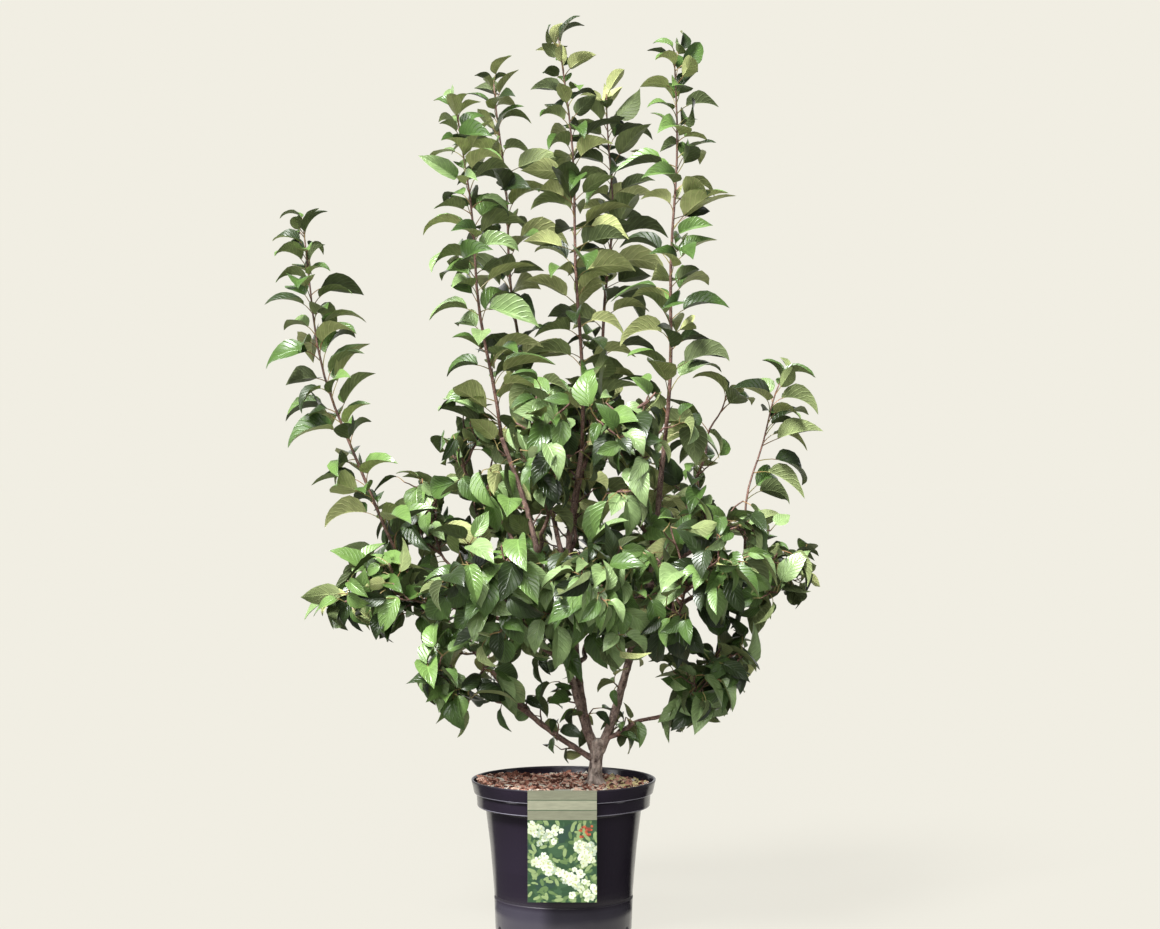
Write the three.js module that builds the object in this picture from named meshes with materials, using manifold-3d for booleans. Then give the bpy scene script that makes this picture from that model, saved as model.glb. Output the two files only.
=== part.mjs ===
// A young crabapple in its black nursery pot: trunk, boughs, masses of foliage, pot, soil and label card.
// Millimetres, +Z up. The origin is the middle of the pot's flat underside, and the label card faces -Y.
import * as THREE from 'three';
import { mergeVertices } from 'three/addons/utils/BufferGeometryUtils.js';
import Module from 'manifold-3d';

const wasm = await Module();
wasm.setup();

// Driving dimensions

const CLEARANCE = 0.35;
const AXIS_TOLERANCE = 1e-6;
const WELD = 2e-3;
const FULL_TURN = 2 * Math.PI;
const GOLDEN_ANGLE = 2.39996;

const POT = {
  height: 228, sides: 36, wall: 3, floor: 4,
  footRadius: 103.5, footBandRadius: 105.2, footBandTop: 51, waistRadius: 104,
  shoulderRadius: 118.5, shoulder: 184,
  bandBottom: 188, bandBottomRadius: 131, bandTop: 205, bandTopRadius: 132,
  rimBottom: 207, rimBottomRadius: 136, rimRadius: 140, rimThickness: 3.5,
  notches: 8, notchWidth: 17, notchHeight: 11, notchDepth: 14,
};

const SOIL = {
  level: 217, sides: 24, rings: 5, heap: 7, heapStart: 20,
  clearance: 0.4, wallClearance: 1, ledgeClearance: 3,
};

const LABEL = {
  width: 101, height: 164, thickness: 1.2, centreX: -1, top: 229.6, lean: 0.03,
  hookWidth: 24, hookReach: 9.5, hookDrop: 9,
};

const TRUNK = {
  foot: [51, 10], top: [57, 8], height: 66, radius: 10.2, flare: 6.5, flareHeight: 9,
  swelling: 3.2, swellingHeight: 16, lobes: 3, lobeDepth: 0.14, sides: 12, rings: 9, forkDepth: 14,
};

// Leaves: the blade and its stalk are one solid, with its root sunk in the twig.
const SHOOT_LEAF = {
  length: 94, width: 50, arch: 0.2, fold: 3, thickness: 3.2, spacing: 22, forward: 0.15, rise: 0.1, droop: 0, roll: 0.9,
};
const SPRAY_LEAF = {
  length: 95, width: 58, arch: 0.13, fold: 3, thickness: 3.2, spacing: 26, forward: 0.5, rise: -0.55, droop: 0.4, roll: 1.5,
};
const YOUNG_LEAF = 0.58;
const LEAF_SIZES = [0.86, 1.14];
const LEAF_WAIST = 0.38;
const LEAF_WIDEST = 0.52;
const LEAF_ROOT_DEPTH = 0.4;
const LEAF_TRIES = 6;
const LEAF_SHIFT = 0.9;
const FIRST_LEAF = 0.06;
const LAST_LEAF = 0.985;

// Twigs: three-sided, thinner than the stem that they leave.
const TWIG = {
  sides: 3, rings: 3, radii: [2.6, 1.5], length: 105, first: 0.1, last: 0.68,
  spread: 1.8, lift: 0.28, sag: 0.06, tries: 6,
};
const STEM_END_RADIUS = 1.5;
const STEM_RING_SPACING = 75;
const COURSE_STEPS = 20;
const BOUGH_SIDES = 6;
const BOUGH_RING_SPACING = 70;

// Boughs, each a tapering limb on one bend. `from` is the limb that carries it and `at` how far along that
// limb it leaves, `bow` is how far the bend is drawn from the straight line, and `stem` and `stemBow` are
// the same for the stem that grows on from its tip. A mass keeps within `reach` of its stem.
const BOUGHS = [
  { name: 'right', from: 'trunk', tip: [152, -25, 731], bow: [24, -8, 0], radii: [7.6, 3.6],
    kind: 'shoot', stem: [166, -40, 1326], stemBow: [16, 0, 0], reach: 96 },
  { name: 'left_centre', from: 'trunk', tip: [-92, -60, 744], bow: [24, -14, 0], radii: [7.4, 3.4],
    kind: 'shoot', stem: [-158, -90, 1238], stemBow: [-6, 0, 0], reach: 98 },
  { name: 'centre', from: 'trunk', tip: [28, 24, 727], bow: [-46, 16, 0], radii: [7, 3.8],
    kind: 'shoot', stem: [-8, 20, 1356], stemBow: [22, 0, 0], reach: 98 },
  { name: 'far_left', from: 'trunk', tip: [-248, 0, 559], bow: [0, -12, -60], radii: [5.2, 3.2],
    kind: 'shoot', stem: [-397, 10, 1072], stemBow: [-60, 0, 0], reach: 96 },
  { name: 'low_right', from: 'trunk', tip: [172, -30, 336], bow: [0, 0, 4], radii: [3.6, 2.6],
    kind: 'spray', stem: [238, -44, 398], stemBow: [12, 0, -6], reach: 98, twigs: 4 },
  { name: 'left_back', from: 'centre', at: 0.6, tip: [-58, 80, 802], bow: [-8, 14, -20], radii: [3.9, 3],
    kind: 'shoot', stem: [-110, 92, 1304], stemBow: [-4, 0, 0], reach: 96 },
  { name: 'right_back', from: 'centre', at: 0.72, tip: [56, 88, 836], bow: [4, 14, -10], radii: [3.7, 3],
    kind: 'shoot', stem: [66, 112, 1286], stemBow: [20, 0, 0], reach: 96 },
  { name: 'far_right', from: 'right', at: 0.4, tip: [252, 4, 512], bow: [10, 0, 24], radii: [4.4, 3],
    kind: 'spray', stem: [330, -16, 520], stemBow: [0, 0, 10], reach: 96, twigs: 4 },
  { name: 'far_right_upper', from: 'far_right', at: 0.86, tip: [276, 16, 570], bow: [8, 2, -8], radii: [2.6, 2.2],
    kind: 'shoot', stem: [334, 20, 838], stemBow: [-26, 0, 0], reach: 94 },
  { name: 'right_upper', from: 'right', at: 0.62, tip: [207, 50, 690], bow: [6, 6, -16], radii: [3.4, 2.4],
    kind: 'shoot', stem: [252, 66, 812], stemBow: [-4, 0, 0], reach: 92 },
  { name: 'low_left', from: 'far_left', at: 0.36, tip: [-128, -60, 372], bow: [4, -8, -8], radii: [3.2, 2.6],
    kind: 'spray', stem: [-196, -100, 398], stemBow: [0, 0, 10], reach: 100, twigs: 4 },
  { name: 'left_mid', from: 'left_centre', at: 0.36, tip: [-140, -86, 484], bow: [0, -20, 4], radii: [3.8, 2.8],
    kind: 'spray', stem: [-314, -84, 520], stemBow: [0, 0, 10], reach: 100, twigs: 5 },
  { name: 'left_upper', from: 'far_left', at: 0.66, tip: [-170, 80, 540], bow: [16, 18, 6], radii: [3.2, 2.6],
    kind: 'spray', stem: [-232, 110, 640], stemBow: [-10, 0, 0], reach: 104, twigs: 5 },
  { name: 'upper_left', from: 'left_centre', at: 0.6, tip: [-116, -14, 640], bow: [0, 14, -8], radii: [3.2, 2.6],
    kind: 'spray', stem: [-176, -20, 742], stemBow: [-12, 0, 0], reach: 98, twigs: 4 },
  { name: 'front_left', from: 'left_centre', at: 0.3, tip: [-56, -140, 470], bow: [10, -26, -16], radii: [3.9, 2.8],
    kind: 'spray', stem: [-108, -222, 560], stemBow: [0, -20, 0], reach: 112, twigs: 5 },
  { name: 'front_centre', from: 'left_centre', at: 0.34, tip: [38, -140, 470], bow: [8, -24, -10], radii: [3.8, 2.8],
    kind: 'spray', stem: [52, -232, 530], stemBow: [0, -16, 0], reach: 112, twigs: 5 },
  { name: 'front_right', from: 'right', at: 0.32, tip: [158, -130, 470], bow: [6, -22, -12], radii: [4, 2.8],
    kind: 'spray', stem: [206, -206, 574], stemBow: [0, -14, 0], reach: 112, twigs: 5 },
  { name: 'upper_front', from: 'left_centre', at: 0.64, tip: [-24, -124, 650], bow: [8, -10, -10], radii: [3.1, 2.4],
    kind: 'spray', stem: [-34, -156, 770], stemBow: [0, -12, 0], reach: 104, twigs: 5 },
  { name: 'upper_right', from: 'right', at: 0.66, tip: [104, -108, 660], bow: [-4, -14, -8], radii: [3.2, 2.4],
    kind: 'spray', stem: [96, -150, 780], stemBow: [0, -12, 0], reach: 104, twigs: 5 },
  { name: 'side_right', from: 'right', at: 0.54, tip: [206, -60, 590], bow: [0, -8, -10], radii: [3.4, 2.6],
    kind: 'spray', stem: [268, -70, 650], stemBow: [0, 0, 0], reach: 98, twigs: 4 },
  { name: 'back', from: 'centre', at: 0.28, tip: [44, 150, 456], bow: [4, 24, -24], radii: [4, 2.8],
    kind: 'spray', stem: [40, 232, 530], stemBow: [0, 20, 0], reach: 112, twigs: 5 },
  { name: 'back_left', from: 'centre', at: 0.36, tip: [-88, 142, 500], bow: [-6, 24, -20], radii: [3.8, 2.8],
    kind: 'spray', stem: [-142, 222, 596], stemBow: [0, 20, 0], reach: 112, twigs: 5 },
  { name: 'back_right', from: 'right', at: 0.36, tip: [150, 132, 506], bow: [0, 22, -20], radii: [3.8, 2.8],
    kind: 'spray', stem: [212, 196, 598], stemBow: [0, 16, 0], reach: 112, twigs: 5 },
  { name: 'upper_back', from: 'centre', at: 0.64, tip: [30, 142, 660], bow: [0, 14, -14], radii: [3.4, 2.6],
    kind: 'spray', stem: [26, 188, 772], stemBow: [0, 10, 0], reach: 108, twigs: 5 },
];

const CROWN_AXIS = new THREE.Vector3(20, 0, 0);
const SEED = 4137;

const UP = new THREE.Vector3(0, 0, 1);

// Materials

const MATERIALS = {
  pot: new THREE.MeshStandardMaterial({ color: 0x1f1c26, roughness: 0.28, metalness: 0 }),
  soil: new THREE.MeshStandardMaterial({ color: 0x4a3022, roughness: 0.95, metalness: 0 }),
  label: new THREE.MeshStandardMaterial({ color: 0x6f7a52, roughness: 0.4, metalness: 0 }),
  bark: new THREE.MeshStandardMaterial({ color: 0x6b5a4c, roughness: 0.85, metalness: 0 }),
  leaf: new THREE.MeshStandardMaterial({ color: 0x3f6a2c, roughness: 0.45, metalness: 0 }),
};

// Small tools

function vector(list) {
  return new THREE.Vector3(...list);
}

// A repeatable stream of numbers from 0 to 1.
function seeded(seed) {
  let state = seed >>> 0;
  return () => {
    state = (state + 0x6d2b79f5) >>> 0;
    let mixed = Math.imul(state ^ (state >>> 15), 1 | state);
    mixed = (mixed + Math.imul(mixed ^ (mixed >>> 7), 61 | mixed)) ^ mixed;
    return ((mixed ^ (mixed >>> 14)) >>> 0) / 4294967296;
  };
}

function solidOf(geometry) {
  const bare = geometry.clone();
  bare.deleteAttribute('normal');
  bare.deleteAttribute('uv');
  const merged = mergeVertices(bare, 1e-4);
  const index = Array.from(merged.index.array);
  const triangles = [];
  for (let i = 0; i < index.length; i += 3) {
    const [a, b, c] = index.slice(i, i + 3);
    if (a !== b && b !== c && c !== a) triangles.push(a, b, c);
  }
  return new wasm.Manifold(new wasm.Mesh({
    numProp: 3,
    vertProperties: Float32Array.from(merged.attributes.position.array),
    triVerts: Uint32Array.from(triangles),
  }));
}

function geometryOf(solid) {
  const mesh = solid.getMesh();
  const geometry = new THREE.BufferGeometry();
  geometry.setAttribute('position', new THREE.BufferAttribute(Float32Array.from(mesh.vertProperties), 3));
  geometry.setIndex(Array.from(mesh.triVerts));
  geometry.computeVertexNormals();
  return geometry;
}

// The largest body of a solid, without the hollows that fusing sealed and without loose scraps.
function wholeOf(solid) {
  const bodies = solid.decompose();
  bodies.sort((a, b) => b.volume() - a.volume());
  return bodies[0];
}

// Whether a solid's faces still close, and none of them vanishes, once corners that nearly meet are one.
function closesWhenWelded(solid) {
  const bare = geometryOf(solid);
  bare.deleteAttribute('normal');
  const { array } = mergeVertices(bare, WELD).index;
  const edges = new Set();
  for (let i = 0; i < array.length; i += 3) {
    for (let k = 0; k < 3; k += 1) {
      const start = array[i + k];
      const end = array[i + ((k + 1) % 3)];
      if (start === end || edges.has(`${start} ${end}`)) return false;
      edges.add(`${start} ${end}`);
    }
  }
  return [...edges].every((edge) => edges.has(edge.split(' ').reverse().join(' ')));
}

// Fuses solids one by one, and leaves out any whose joint would not close.
function fuse([first, ...others]) {
  let whole = first;
  for (const other of others) {
    const joined = wholeOf(whole.add(other));
    if (closesWhenWelded(joined)) whole = joined;
  }
  return whole;
}

// A closed skin over rings of points that all have one length, flat at both ends.
function loft(rings) {
  const count = rings[0].length;
  const faces = [];
  for (let ring = 0; ring < rings.length - 1; ring += 1) {
    for (let side = 0; side < count; side += 1) {
      const a = ring * count + side;
      const b = ring * count + ((side + 1) % count);
      faces.push(a, b, b + count, a, b + count, a + count);
    }
  }
  const last = (rings.length - 1) * count;
  for (let side = 1; side < count - 1; side += 1) {
    faces.push(0, side + 1, side);
    faces.push(last, last + side, last + side + 1);
  }
  const geometry = new THREE.BufferGeometry();
  const positions = rings.flat().flatMap((point) => point.toArray());
  geometry.setAttribute('position', new THREE.Float32BufferAttribute(positions, 3));
  geometry.setIndex(faces);
  return geometry;
}

// Two directions that are square to a limb's course, the same way round all along it.
function crossAxes(tangent, reference) {
  const side = new THREE.Vector3().crossVectors(tangent, reference).normalize();
  const other = new THREE.Vector3().crossVectors(tangent, side);
  return [side, other];
}

function steadyReference(chord) {
  return Math.abs(chord.y) < 0.8 * chord.length() ? new THREE.Vector3(0, 1, 0) : new THREE.Vector3(1, 0, 0);
}

// Rings of a tapering limb along a curve, from one radius to another. `onward` turns the first ring square
// to the limb that this one grows on from.
function limbRings(curve, radii, sides, ringCount, grow = 0, onward = curve.getTangent(0)) {
  const chord = curve.getPoint(1).sub(curve.getPoint(0));
  const reference = steadyReference(chord);
  const rings = [];
  for (let i = 0; i < ringCount; i += 1) {
    const t = i / (ringCount - 1);
    const centre = curve.getPoint(t);
    const tangent = i === 0 ? onward : curve.getTangent(t);
    const [side, other] = crossAxes(tangent, reference);
    const radius = THREE.MathUtils.lerp(radii[0], radii[1], t) + grow;
    rings.push(Array.from({ length: sides }, (_, k) => {
      const angle = (k / sides) * FULL_TURN;
      return centre.clone()
        .addScaledVector(side, radius * Math.cos(angle))
        .addScaledVector(other, radius * Math.sin(angle));
    }));
  }
  return rings;
}

function bentCurve(start, end, bow) {
  const middle = start.clone().add(end).multiplyScalar(0.5).add(bow);
  return new THREE.QuadraticBezierCurve3(start, middle, end);
}

// Pieces that must keep clear of each other, each with the directions in which a gap is looked for

function pieceOf(points, normals, edges, owner) {
  return { points, normals, edges, owner, box: new THREE.Box3().setFromPoints(points) };
}

function unitNormal(a, b, c) {
  const first = b.clone().sub(a);
  const second = c.clone().sub(a);
  return first.cross(second).normalize();
}

function limbPieces(rings, owner) {
  const pieces = [];
  for (let i = 0; i < rings.length - 1; i += 1) {
    const low = rings[i];
    const high = rings[i + 1];
    const count = low.length;
    const normals = [unitNormal(low[0], low[1], low[2]), unitNormal(high[0], high[1], high[2])];
    const edges = [];
    for (let k = 0; k < count; k += 1) {
      const next = (k + 1) % count;
      normals.push(unitNormal(low[k], low[next], high[next]));
      edges.push(high[k].clone().sub(low[k]), low[next].clone().sub(low[k]));
    }
    pieces.push(pieceOf([...low, ...high], normals, edges, owner));
  }
  return pieces;
}

function apartAlong(axis, first, second, gap) {
  let firstLow = Infinity;
  let firstHigh = -Infinity;
  let secondLow = Infinity;
  let secondHigh = -Infinity;
  for (const point of first.points) {
    const reach = point.dot(axis);
    firstLow = Math.min(firstLow, reach);
    firstHigh = Math.max(firstHigh, reach);
  }
  for (const point of second.points) {
    const reach = point.dot(axis);
    secondLow = Math.min(secondLow, reach);
    secondHigh = Math.max(secondHigh, reach);
  }
  return firstHigh + gap < secondLow || secondHigh + gap < firstLow;
}

// Two convex pieces are apart when some direction shows a gap between them.
function apart(first, second, gap) {
  if (!first.box.clone().expandByScalar(gap).intersectsBox(second.box)) return true;
  for (const normal of [...first.normals, ...second.normals]) {
    if (apartAlong(normal, first, second, gap)) return true;
  }
  const axis = new THREE.Vector3();
  for (const edge of first.edges) {
    for (const other of second.edges) {
      axis.crossVectors(edge, other);
      const size = axis.length();
      if (size > AXIS_TOLERANCE && apartAlong(axis.divideScalar(size), first, second, gap)) return true;
    }
  }
  return false;
}

function isClear(piece, pieces, gap, owners = []) {
  return pieces.every((other) => owners.includes(other.owner) || apart(piece, other, gap));
}

// Pot

function potWallRadius(z) {
  const rise = (z - POT.footBandTop) / (POT.shoulder - POT.footBandTop);
  return THREE.MathUtils.lerp(POT.waistRadius, POT.shoulderRadius, THREE.MathUtils.clamp(rise, 0, 1)) - POT.wall;
}

function potSolid() {
  const profile = [
    [0, 0],
    [POT.footRadius - 2, 0],
    [POT.footRadius, 2],
    [POT.footBandRadius, POT.footBandTop - 2],
    [POT.waistRadius, POT.footBandTop],
    [POT.shoulderRadius, POT.shoulder],
    [POT.bandBottomRadius, POT.bandBottom],
    [POT.bandTopRadius, POT.bandTop],
    [POT.rimBottomRadius, POT.rimBottom],
    [POT.rimRadius, POT.height - 1],
    [POT.rimRadius - 1, POT.height],
    [POT.rimRadius - POT.rimThickness, POT.height],
    [POT.rimBottomRadius - POT.rimThickness, POT.rimBottom + 2],
    [POT.bandTopRadius - POT.rimThickness, POT.bandTop],
    [POT.bandBottomRadius - POT.rimThickness, POT.bandBottom + 3],
    [potWallRadius(POT.shoulder), POT.shoulder + 1],
    [potWallRadius(0) - 1, POT.floor],
    [0, POT.floor],
  ].map(([radius, z]) => new THREE.Vector2(radius, z));
  const lathe = new THREE.LatheGeometry(profile, POT.sides);
  lathe.rotateX(Math.PI / 2);
  let pot = solidOf(lathe);
  for (let k = 0; k < POT.notches; k += 1) {
    const notch = new THREE.BoxGeometry(POT.notchDepth, POT.notchWidth, POT.notchHeight * 2);
    notch.translate(POT.footRadius, 0, 0);
    notch.rotateZ(((k + 0.5) / POT.notches) * FULL_TURN);
    pot = pot.subtract(solidOf(notch));
  }
  return pot;
}

// Soil: fills the pot, heaped a little towards -X and flat under the trunk

function soilHeight(x) {
  const rise = THREE.MathUtils.clamp((-x - SOIL.heapStart) / (POT.shoulderRadius - SOIL.heapStart), 0, 1);
  return SOIL.level + SOIL.heap * rise * rise;
}

function soilRing(radius, height) {
  return Array.from({ length: SOIL.sides }, (_, k) => {
    const angle = (k / SOIL.sides) * FULL_TURN;
    const x = radius * Math.cos(angle);
    return new THREE.Vector3(x, radius * Math.sin(angle), height ?? soilHeight(x));
  });
}

function soilSolid() {
  const wallRings = [
    [potWallRadius(0) - 1, POT.floor + SOIL.clearance],
    [potWallRadius(POT.footBandTop), POT.footBandTop],
    [potWallRadius(POT.shoulder), POT.shoulder + SOIL.ledgeClearance],
    [POT.bandBottomRadius - POT.rimThickness, POT.bandBottom + 3 + SOIL.ledgeClearance],
    [POT.bandTopRadius - POT.rimThickness, POT.bandTop],
    [POT.rimBottomRadius - POT.rimThickness, POT.rimBottom + 2],
  ].map(([radius, z]) => soilRing(radius - SOIL.wallClearance, z));
  const rimRadius = POT.rimBottomRadius - POT.rimThickness - SOIL.wallClearance;
  for (let ring = SOIL.rings; ring > 0; ring -= 1) {
    wallRings.push(soilRing(rimRadius * (ring / SOIL.rings)));
  }
  return solidOf(loft(wallRings));
}

// Label card: hangs from a hook over the rim

function labelGeometry() {
  const face = new THREE.BoxGeometry(LABEL.width, LABEL.thickness, LABEL.height);
  face.translate(0, -LABEL.thickness / 2, -LABEL.height / 2);
  const bridge = new THREE.BoxGeometry(LABEL.hookWidth, LABEL.hookReach + LABEL.thickness, LABEL.thickness);
  bridge.translate(0, LABEL.hookReach / 2 - LABEL.thickness / 2, -LABEL.thickness / 2);
  const tongue = new THREE.BoxGeometry(LABEL.hookWidth, LABEL.thickness, LABEL.hookDrop);
  tongue.translate(0, LABEL.hookReach - LABEL.thickness / 2, -LABEL.hookDrop / 2);
  return geometryOf(fuse([face, bridge, tongue].map(solidOf)));
}

// Trunk: flat at the soil, flared and lobed at the foot, swollen where it forks

const trunkFoot = new THREE.Vector3(...TRUNK.foot, SOIL.level + CLEARANCE);
const trunkTop = new THREE.Vector3(...TRUNK.top, SOIL.level + CLEARANCE + TRUNK.height);

function trunkSolid(grow = 0) {
  const rings = [];
  for (let i = 0; i < TRUNK.rings; i += 1) {
    const t = (i / (TRUNK.rings - 1)) ** 1.35;
    const centre = trunkFoot.clone().lerp(trunkTop, t);
    const height = TRUNK.height * t;
    const flare = Math.exp(-height / TRUNK.flareHeight);
    const swell = Math.exp(-(((TRUNK.height - height) / TRUNK.swellingHeight) ** 2));
    rings.push(Array.from({ length: TRUNK.sides }, (_, k) => {
      const angle = (k / TRUNK.sides) * FULL_TURN;
      const lobe = 1 + TRUNK.lobeDepth * flare * Math.cos(TRUNK.lobes * angle);
      const radius = (TRUNK.radius + TRUNK.flare * flare + TRUNK.swelling * swell) * lobe + grow;
      return centre.clone().add(new THREE.Vector3(radius * Math.cos(angle), radius * Math.sin(angle), 0));
    }));
  }
  const crest = trunkTop.clone();
  crest.z += 4 + grow;
  rings.push(rings[rings.length - 1].map((point) => point.clone().lerp(crest, 0.45).setZ(crest.z)));
  return solidOf(loft(rings));
}

// Boughs: each starts inside the limb that carries it and is cut back to clear it

const limbs = new Map();
const clearPieces = [];

function boughStart(bough) {
  if (bough.from === 'trunk') {
    return trunkTop.clone().setZ(trunkTop.z - TRUNK.forkDepth);
  }
  return limbs.get(bough.from).curve.getPoint(bough.at);
}

function growBough(bough) {
  const tip = vector(bough.tip);
  const curve = bentCurve(boughStart(bough), tip, vector(bough.bow));
  const ringCount = Math.max(3, Math.round(curve.getLength() / BOUGH_RING_SPACING) + 1);
  const rings = limbRings(curve, bough.radii, BOUGH_SIDES, ringCount);
  const grown = solidOf(loft(limbRings(curve, bough.radii, BOUGH_SIDES, ringCount, CLEARANCE)));
  let solid = solidOf(loft(rings));
  for (const earlier of limbs.values()) {
    solid = solid.subtract(earlier.grown);
  }
  limbs.set(bough.name, { curve, grown, solid: wholeOf(solid), bough });
  clearPieces.push(...limbPieces(rings, `bough_${bough.name}`));
}

// Leaves

// A folded, arched leaf of eight faces: root, tip, two edges, and a top and an underside at its waist.
function leafPoints(root, along, face, size) {
  const up = face.clone().addScaledVector(along, -face.dot(along)).normalize();
  const side = new THREE.Vector3().crossVectors(along, up);
  const place = (reach, across, height) => root.clone()
    .addScaledVector(along, reach * size.length)
    .addScaledVector(side, across)
    .addScaledVector(up, height);
  const arch = size.arch * size.length;
  return [
    place(0, 0, 0),
    place(1, 0, 0),
    place(LEAF_WIDEST, size.width / 2, arch + size.fold),
    place(LEAF_WIDEST, -size.width / 2, arch + size.fold),
    place(LEAF_WAIST, 0, arch + size.thickness / 2),
    place(LEAF_WAIST, 0, arch - size.thickness / 2),
  ];
}

const LEAF_FACES = [
  [0, 2, 4], [0, 4, 3], [0, 3, 5], [0, 5, 2],
  [1, 4, 2], [1, 3, 4], [1, 5, 3], [1, 2, 5],
];
const LEAF_EDGES = [[0, 2], [0, 3], [0, 4], [0, 5], [1, 2], [1, 3], [1, 4], [1, 5], [2, 3], [2, 4], [3, 4], [0, 1]];

function leafPiece(points, owner) {
  const normals = LEAF_FACES.map(([a, b, c]) => unitNormal(points[a], points[b], points[c]));
  const edges = LEAF_EDGES.map(([a, b]) => points[b].clone().sub(points[a]));
  return pieceOf(points, normals, edges, owner);
}

function leafSolid(points) {
  const geometry = new THREE.BufferGeometry();
  geometry.setAttribute('position', new THREE.Float32BufferAttribute(points.flatMap((p) => p.toArray()), 3));
  geometry.setIndex(LEAF_FACES.flat());
  return solidOf(geometry);
}

function insideReach(point, mass) {
  return mass.course.some((station) => station.distanceTo(point) < mass.bough.reach);
}

function spread(random, [low, high]) {
  return low + (high - low) * random();
}

// Where a leaf points and which way its upper side looks: out from its twig and upwards, with chance in it.
function leafPose(twig, t, turn, size, random) {
  const tangent = twig.curve.getTangent(t);
  const [side, other] = crossAxes(tangent, steadyReference(tangent));
  const outward = side.multiplyScalar(Math.cos(turn)).addScaledVector(other, Math.sin(turn));
  const forward = size.forward + (1 - size.forward) * t ** 6;
  const along = outward.addScaledVector(tangent, forward).normalize();
  along.z += size.rise + 0.35 * (random() - 0.5) - size.droop * random();
  along.normalize();
  const away = twig.curve.getPoint(t).sub(CROWN_AXIS).setZ(0).normalize();
  const chance = new THREE.Vector3(random() - 0.5, random() - 0.5, random() - 0.5);
  const face = UP.clone().addScaledVector(away, 0.55).addScaledVector(chance, size.roll);
  return [along, face];
}

// Leaves near a shoot's tip are younger and smaller. A leaf that finds no room is left out.
function placeLeaf(mass, twig, t, turn) {
  const { random } = mass;
  const base = mass.leaf;
  const young = base === SHOOT_LEAF ? THREE.MathUtils.lerp(1, YOUNG_LEAF, t ** 4) : 1;
  const grade = young * spread(random, LEAF_SIZES);
  const size = { ...base, length: base.length * grade, width: base.width * grade };
  const radius = THREE.MathUtils.lerp(twig.radii[0], twig.radii[1], t);
  for (let attempt = 0; attempt < LEAF_TRIES; attempt += 1) {
    const shift = attempt * (attempt % 2 === 0 ? LEAF_SHIFT : -LEAF_SHIFT);
    const [along, face] = leafPose(twig, t, turn + shift, size, random);
    const root = twig.curve.getPoint(t).addScaledVector(along, -LEAF_ROOT_DEPTH * radius);
    const points = leafPoints(root, along, face, size);
    const piece = leafPiece(points, `leaf_of_${mass.bough.name}`);
    const within = points.every((point) => insideReach(point, mass));
    if (within && isClear(piece, clearPieces, CLEARANCE, [twig.owner])) {
      clearPieces.push(piece);
      mass.solids.push(leafSolid(points));
      return;
    }
  }
}

// Twigs: the stem of a mass grows on from its bough, with its first ring square to the bough's tip

function growStem(limb, index) {
  const { bough } = limb;
  const onward = limb.curve.getTangent(1);
  const start = limb.curve.getPoint(1).addScaledVector(onward, CLEARANCE);
  const curve = bentCurve(start, vector(bough.stem), vector(bough.stemBow));
  const radii = [bough.radii[1], STEM_END_RADIUS];
  const ringCount = Math.max(3, Math.round(curve.getLength() / STEM_RING_SPACING) + 1);
  const rings = limbRings(curve, radii, TWIG.sides, ringCount, 0, onward);
  const owner = `stem_${bough.name}`;
  const stem = { curve, radii, owner };
  const random = seeded(SEED + index);
  clearPieces.push(...limbPieces(rings, owner));
  return {
    bough, stem, random,
    turn: random() * FULL_TURN,
    leaf: bough.kind === 'shoot' ? SHOOT_LEAF : SPRAY_LEAF,
    twigs: [stem],
    solids: [solidOf(loft(rings))],
    course: curve.getPoints(COURSE_STEPS),
  };
}

// Side twigs leave the stem in turn, a golden angle apart, and rise a little as they go out.
function growTwigs(mass) {
  const { random, stem } = mass;
  const count = mass.bough.twigs ?? 0;
  for (let k = 0; k < count; k += 1) {
    const t = THREE.MathUtils.lerp(TWIG.first, TWIG.last, k / (count - 1));
    const start = stem.curve.getPoint(t);
    const tangent = stem.curve.getTangent(t);
    const [side, other] = crossAxes(tangent, steadyReference(tangent));
    const length = TWIG.length * (1 - 0.3 * t) * spread(random, LEAF_SIZES);
    const owner = `twig_${mass.bough.name}_${k}`;
    for (let attempt = 0; attempt < TWIG.tries; attempt += 1) {
      const turn = mass.turn + k * GOLDEN_ANGLE + attempt * LEAF_SHIFT;
      const outward = side.clone().multiplyScalar(Math.cos(turn)).addScaledVector(other, Math.sin(turn));
      const aim = tangent.clone().addScaledVector(outward, TWIG.spread).normalize();
      aim.z += TWIG.lift;
      const end = start.clone().addScaledVector(aim.normalize(), length);
      const curve = bentCurve(start, end, new THREE.Vector3(0, 0, -TWIG.sag * length));
      const rings = limbRings(curve, TWIG.radii, TWIG.sides, TWIG.rings);
      const pieces = limbPieces(rings, owner);
      const clear = pieces.every((piece) => isClear(piece, clearPieces, CLEARANCE, [stem.owner]));
      if (clear && insideReach(end, mass)) {
        clearPieces.push(...pieces);
        mass.twigs.push({ curve, radii: TWIG.radii, owner });
        mass.solids.push(solidOf(loft(rings)));
        break;
      }
    }
  }
}

// Leaves leave each twig in turn, a golden angle apart, from near its foot to its tip.
function growLeaves(mass) {
  for (const twig of mass.twigs) {
    const count = Math.round(twig.curve.getLength() / mass.leaf.spacing);
    for (let k = 0; k <= count; k += 1) {
      const t = THREE.MathUtils.lerp(FIRST_LEAF, LAST_LEAF, k / count);
      placeLeaf(mass, twig, t, mass.turn + k * GOLDEN_ANGLE);
    }
  }
}

// The whole plant

function addPiece(group, name, geometry, material) {
  const mesh = new THREE.Mesh(geometry, material.clone());
  mesh.name = name;
  group.add(mesh);
  return mesh;
}

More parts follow.
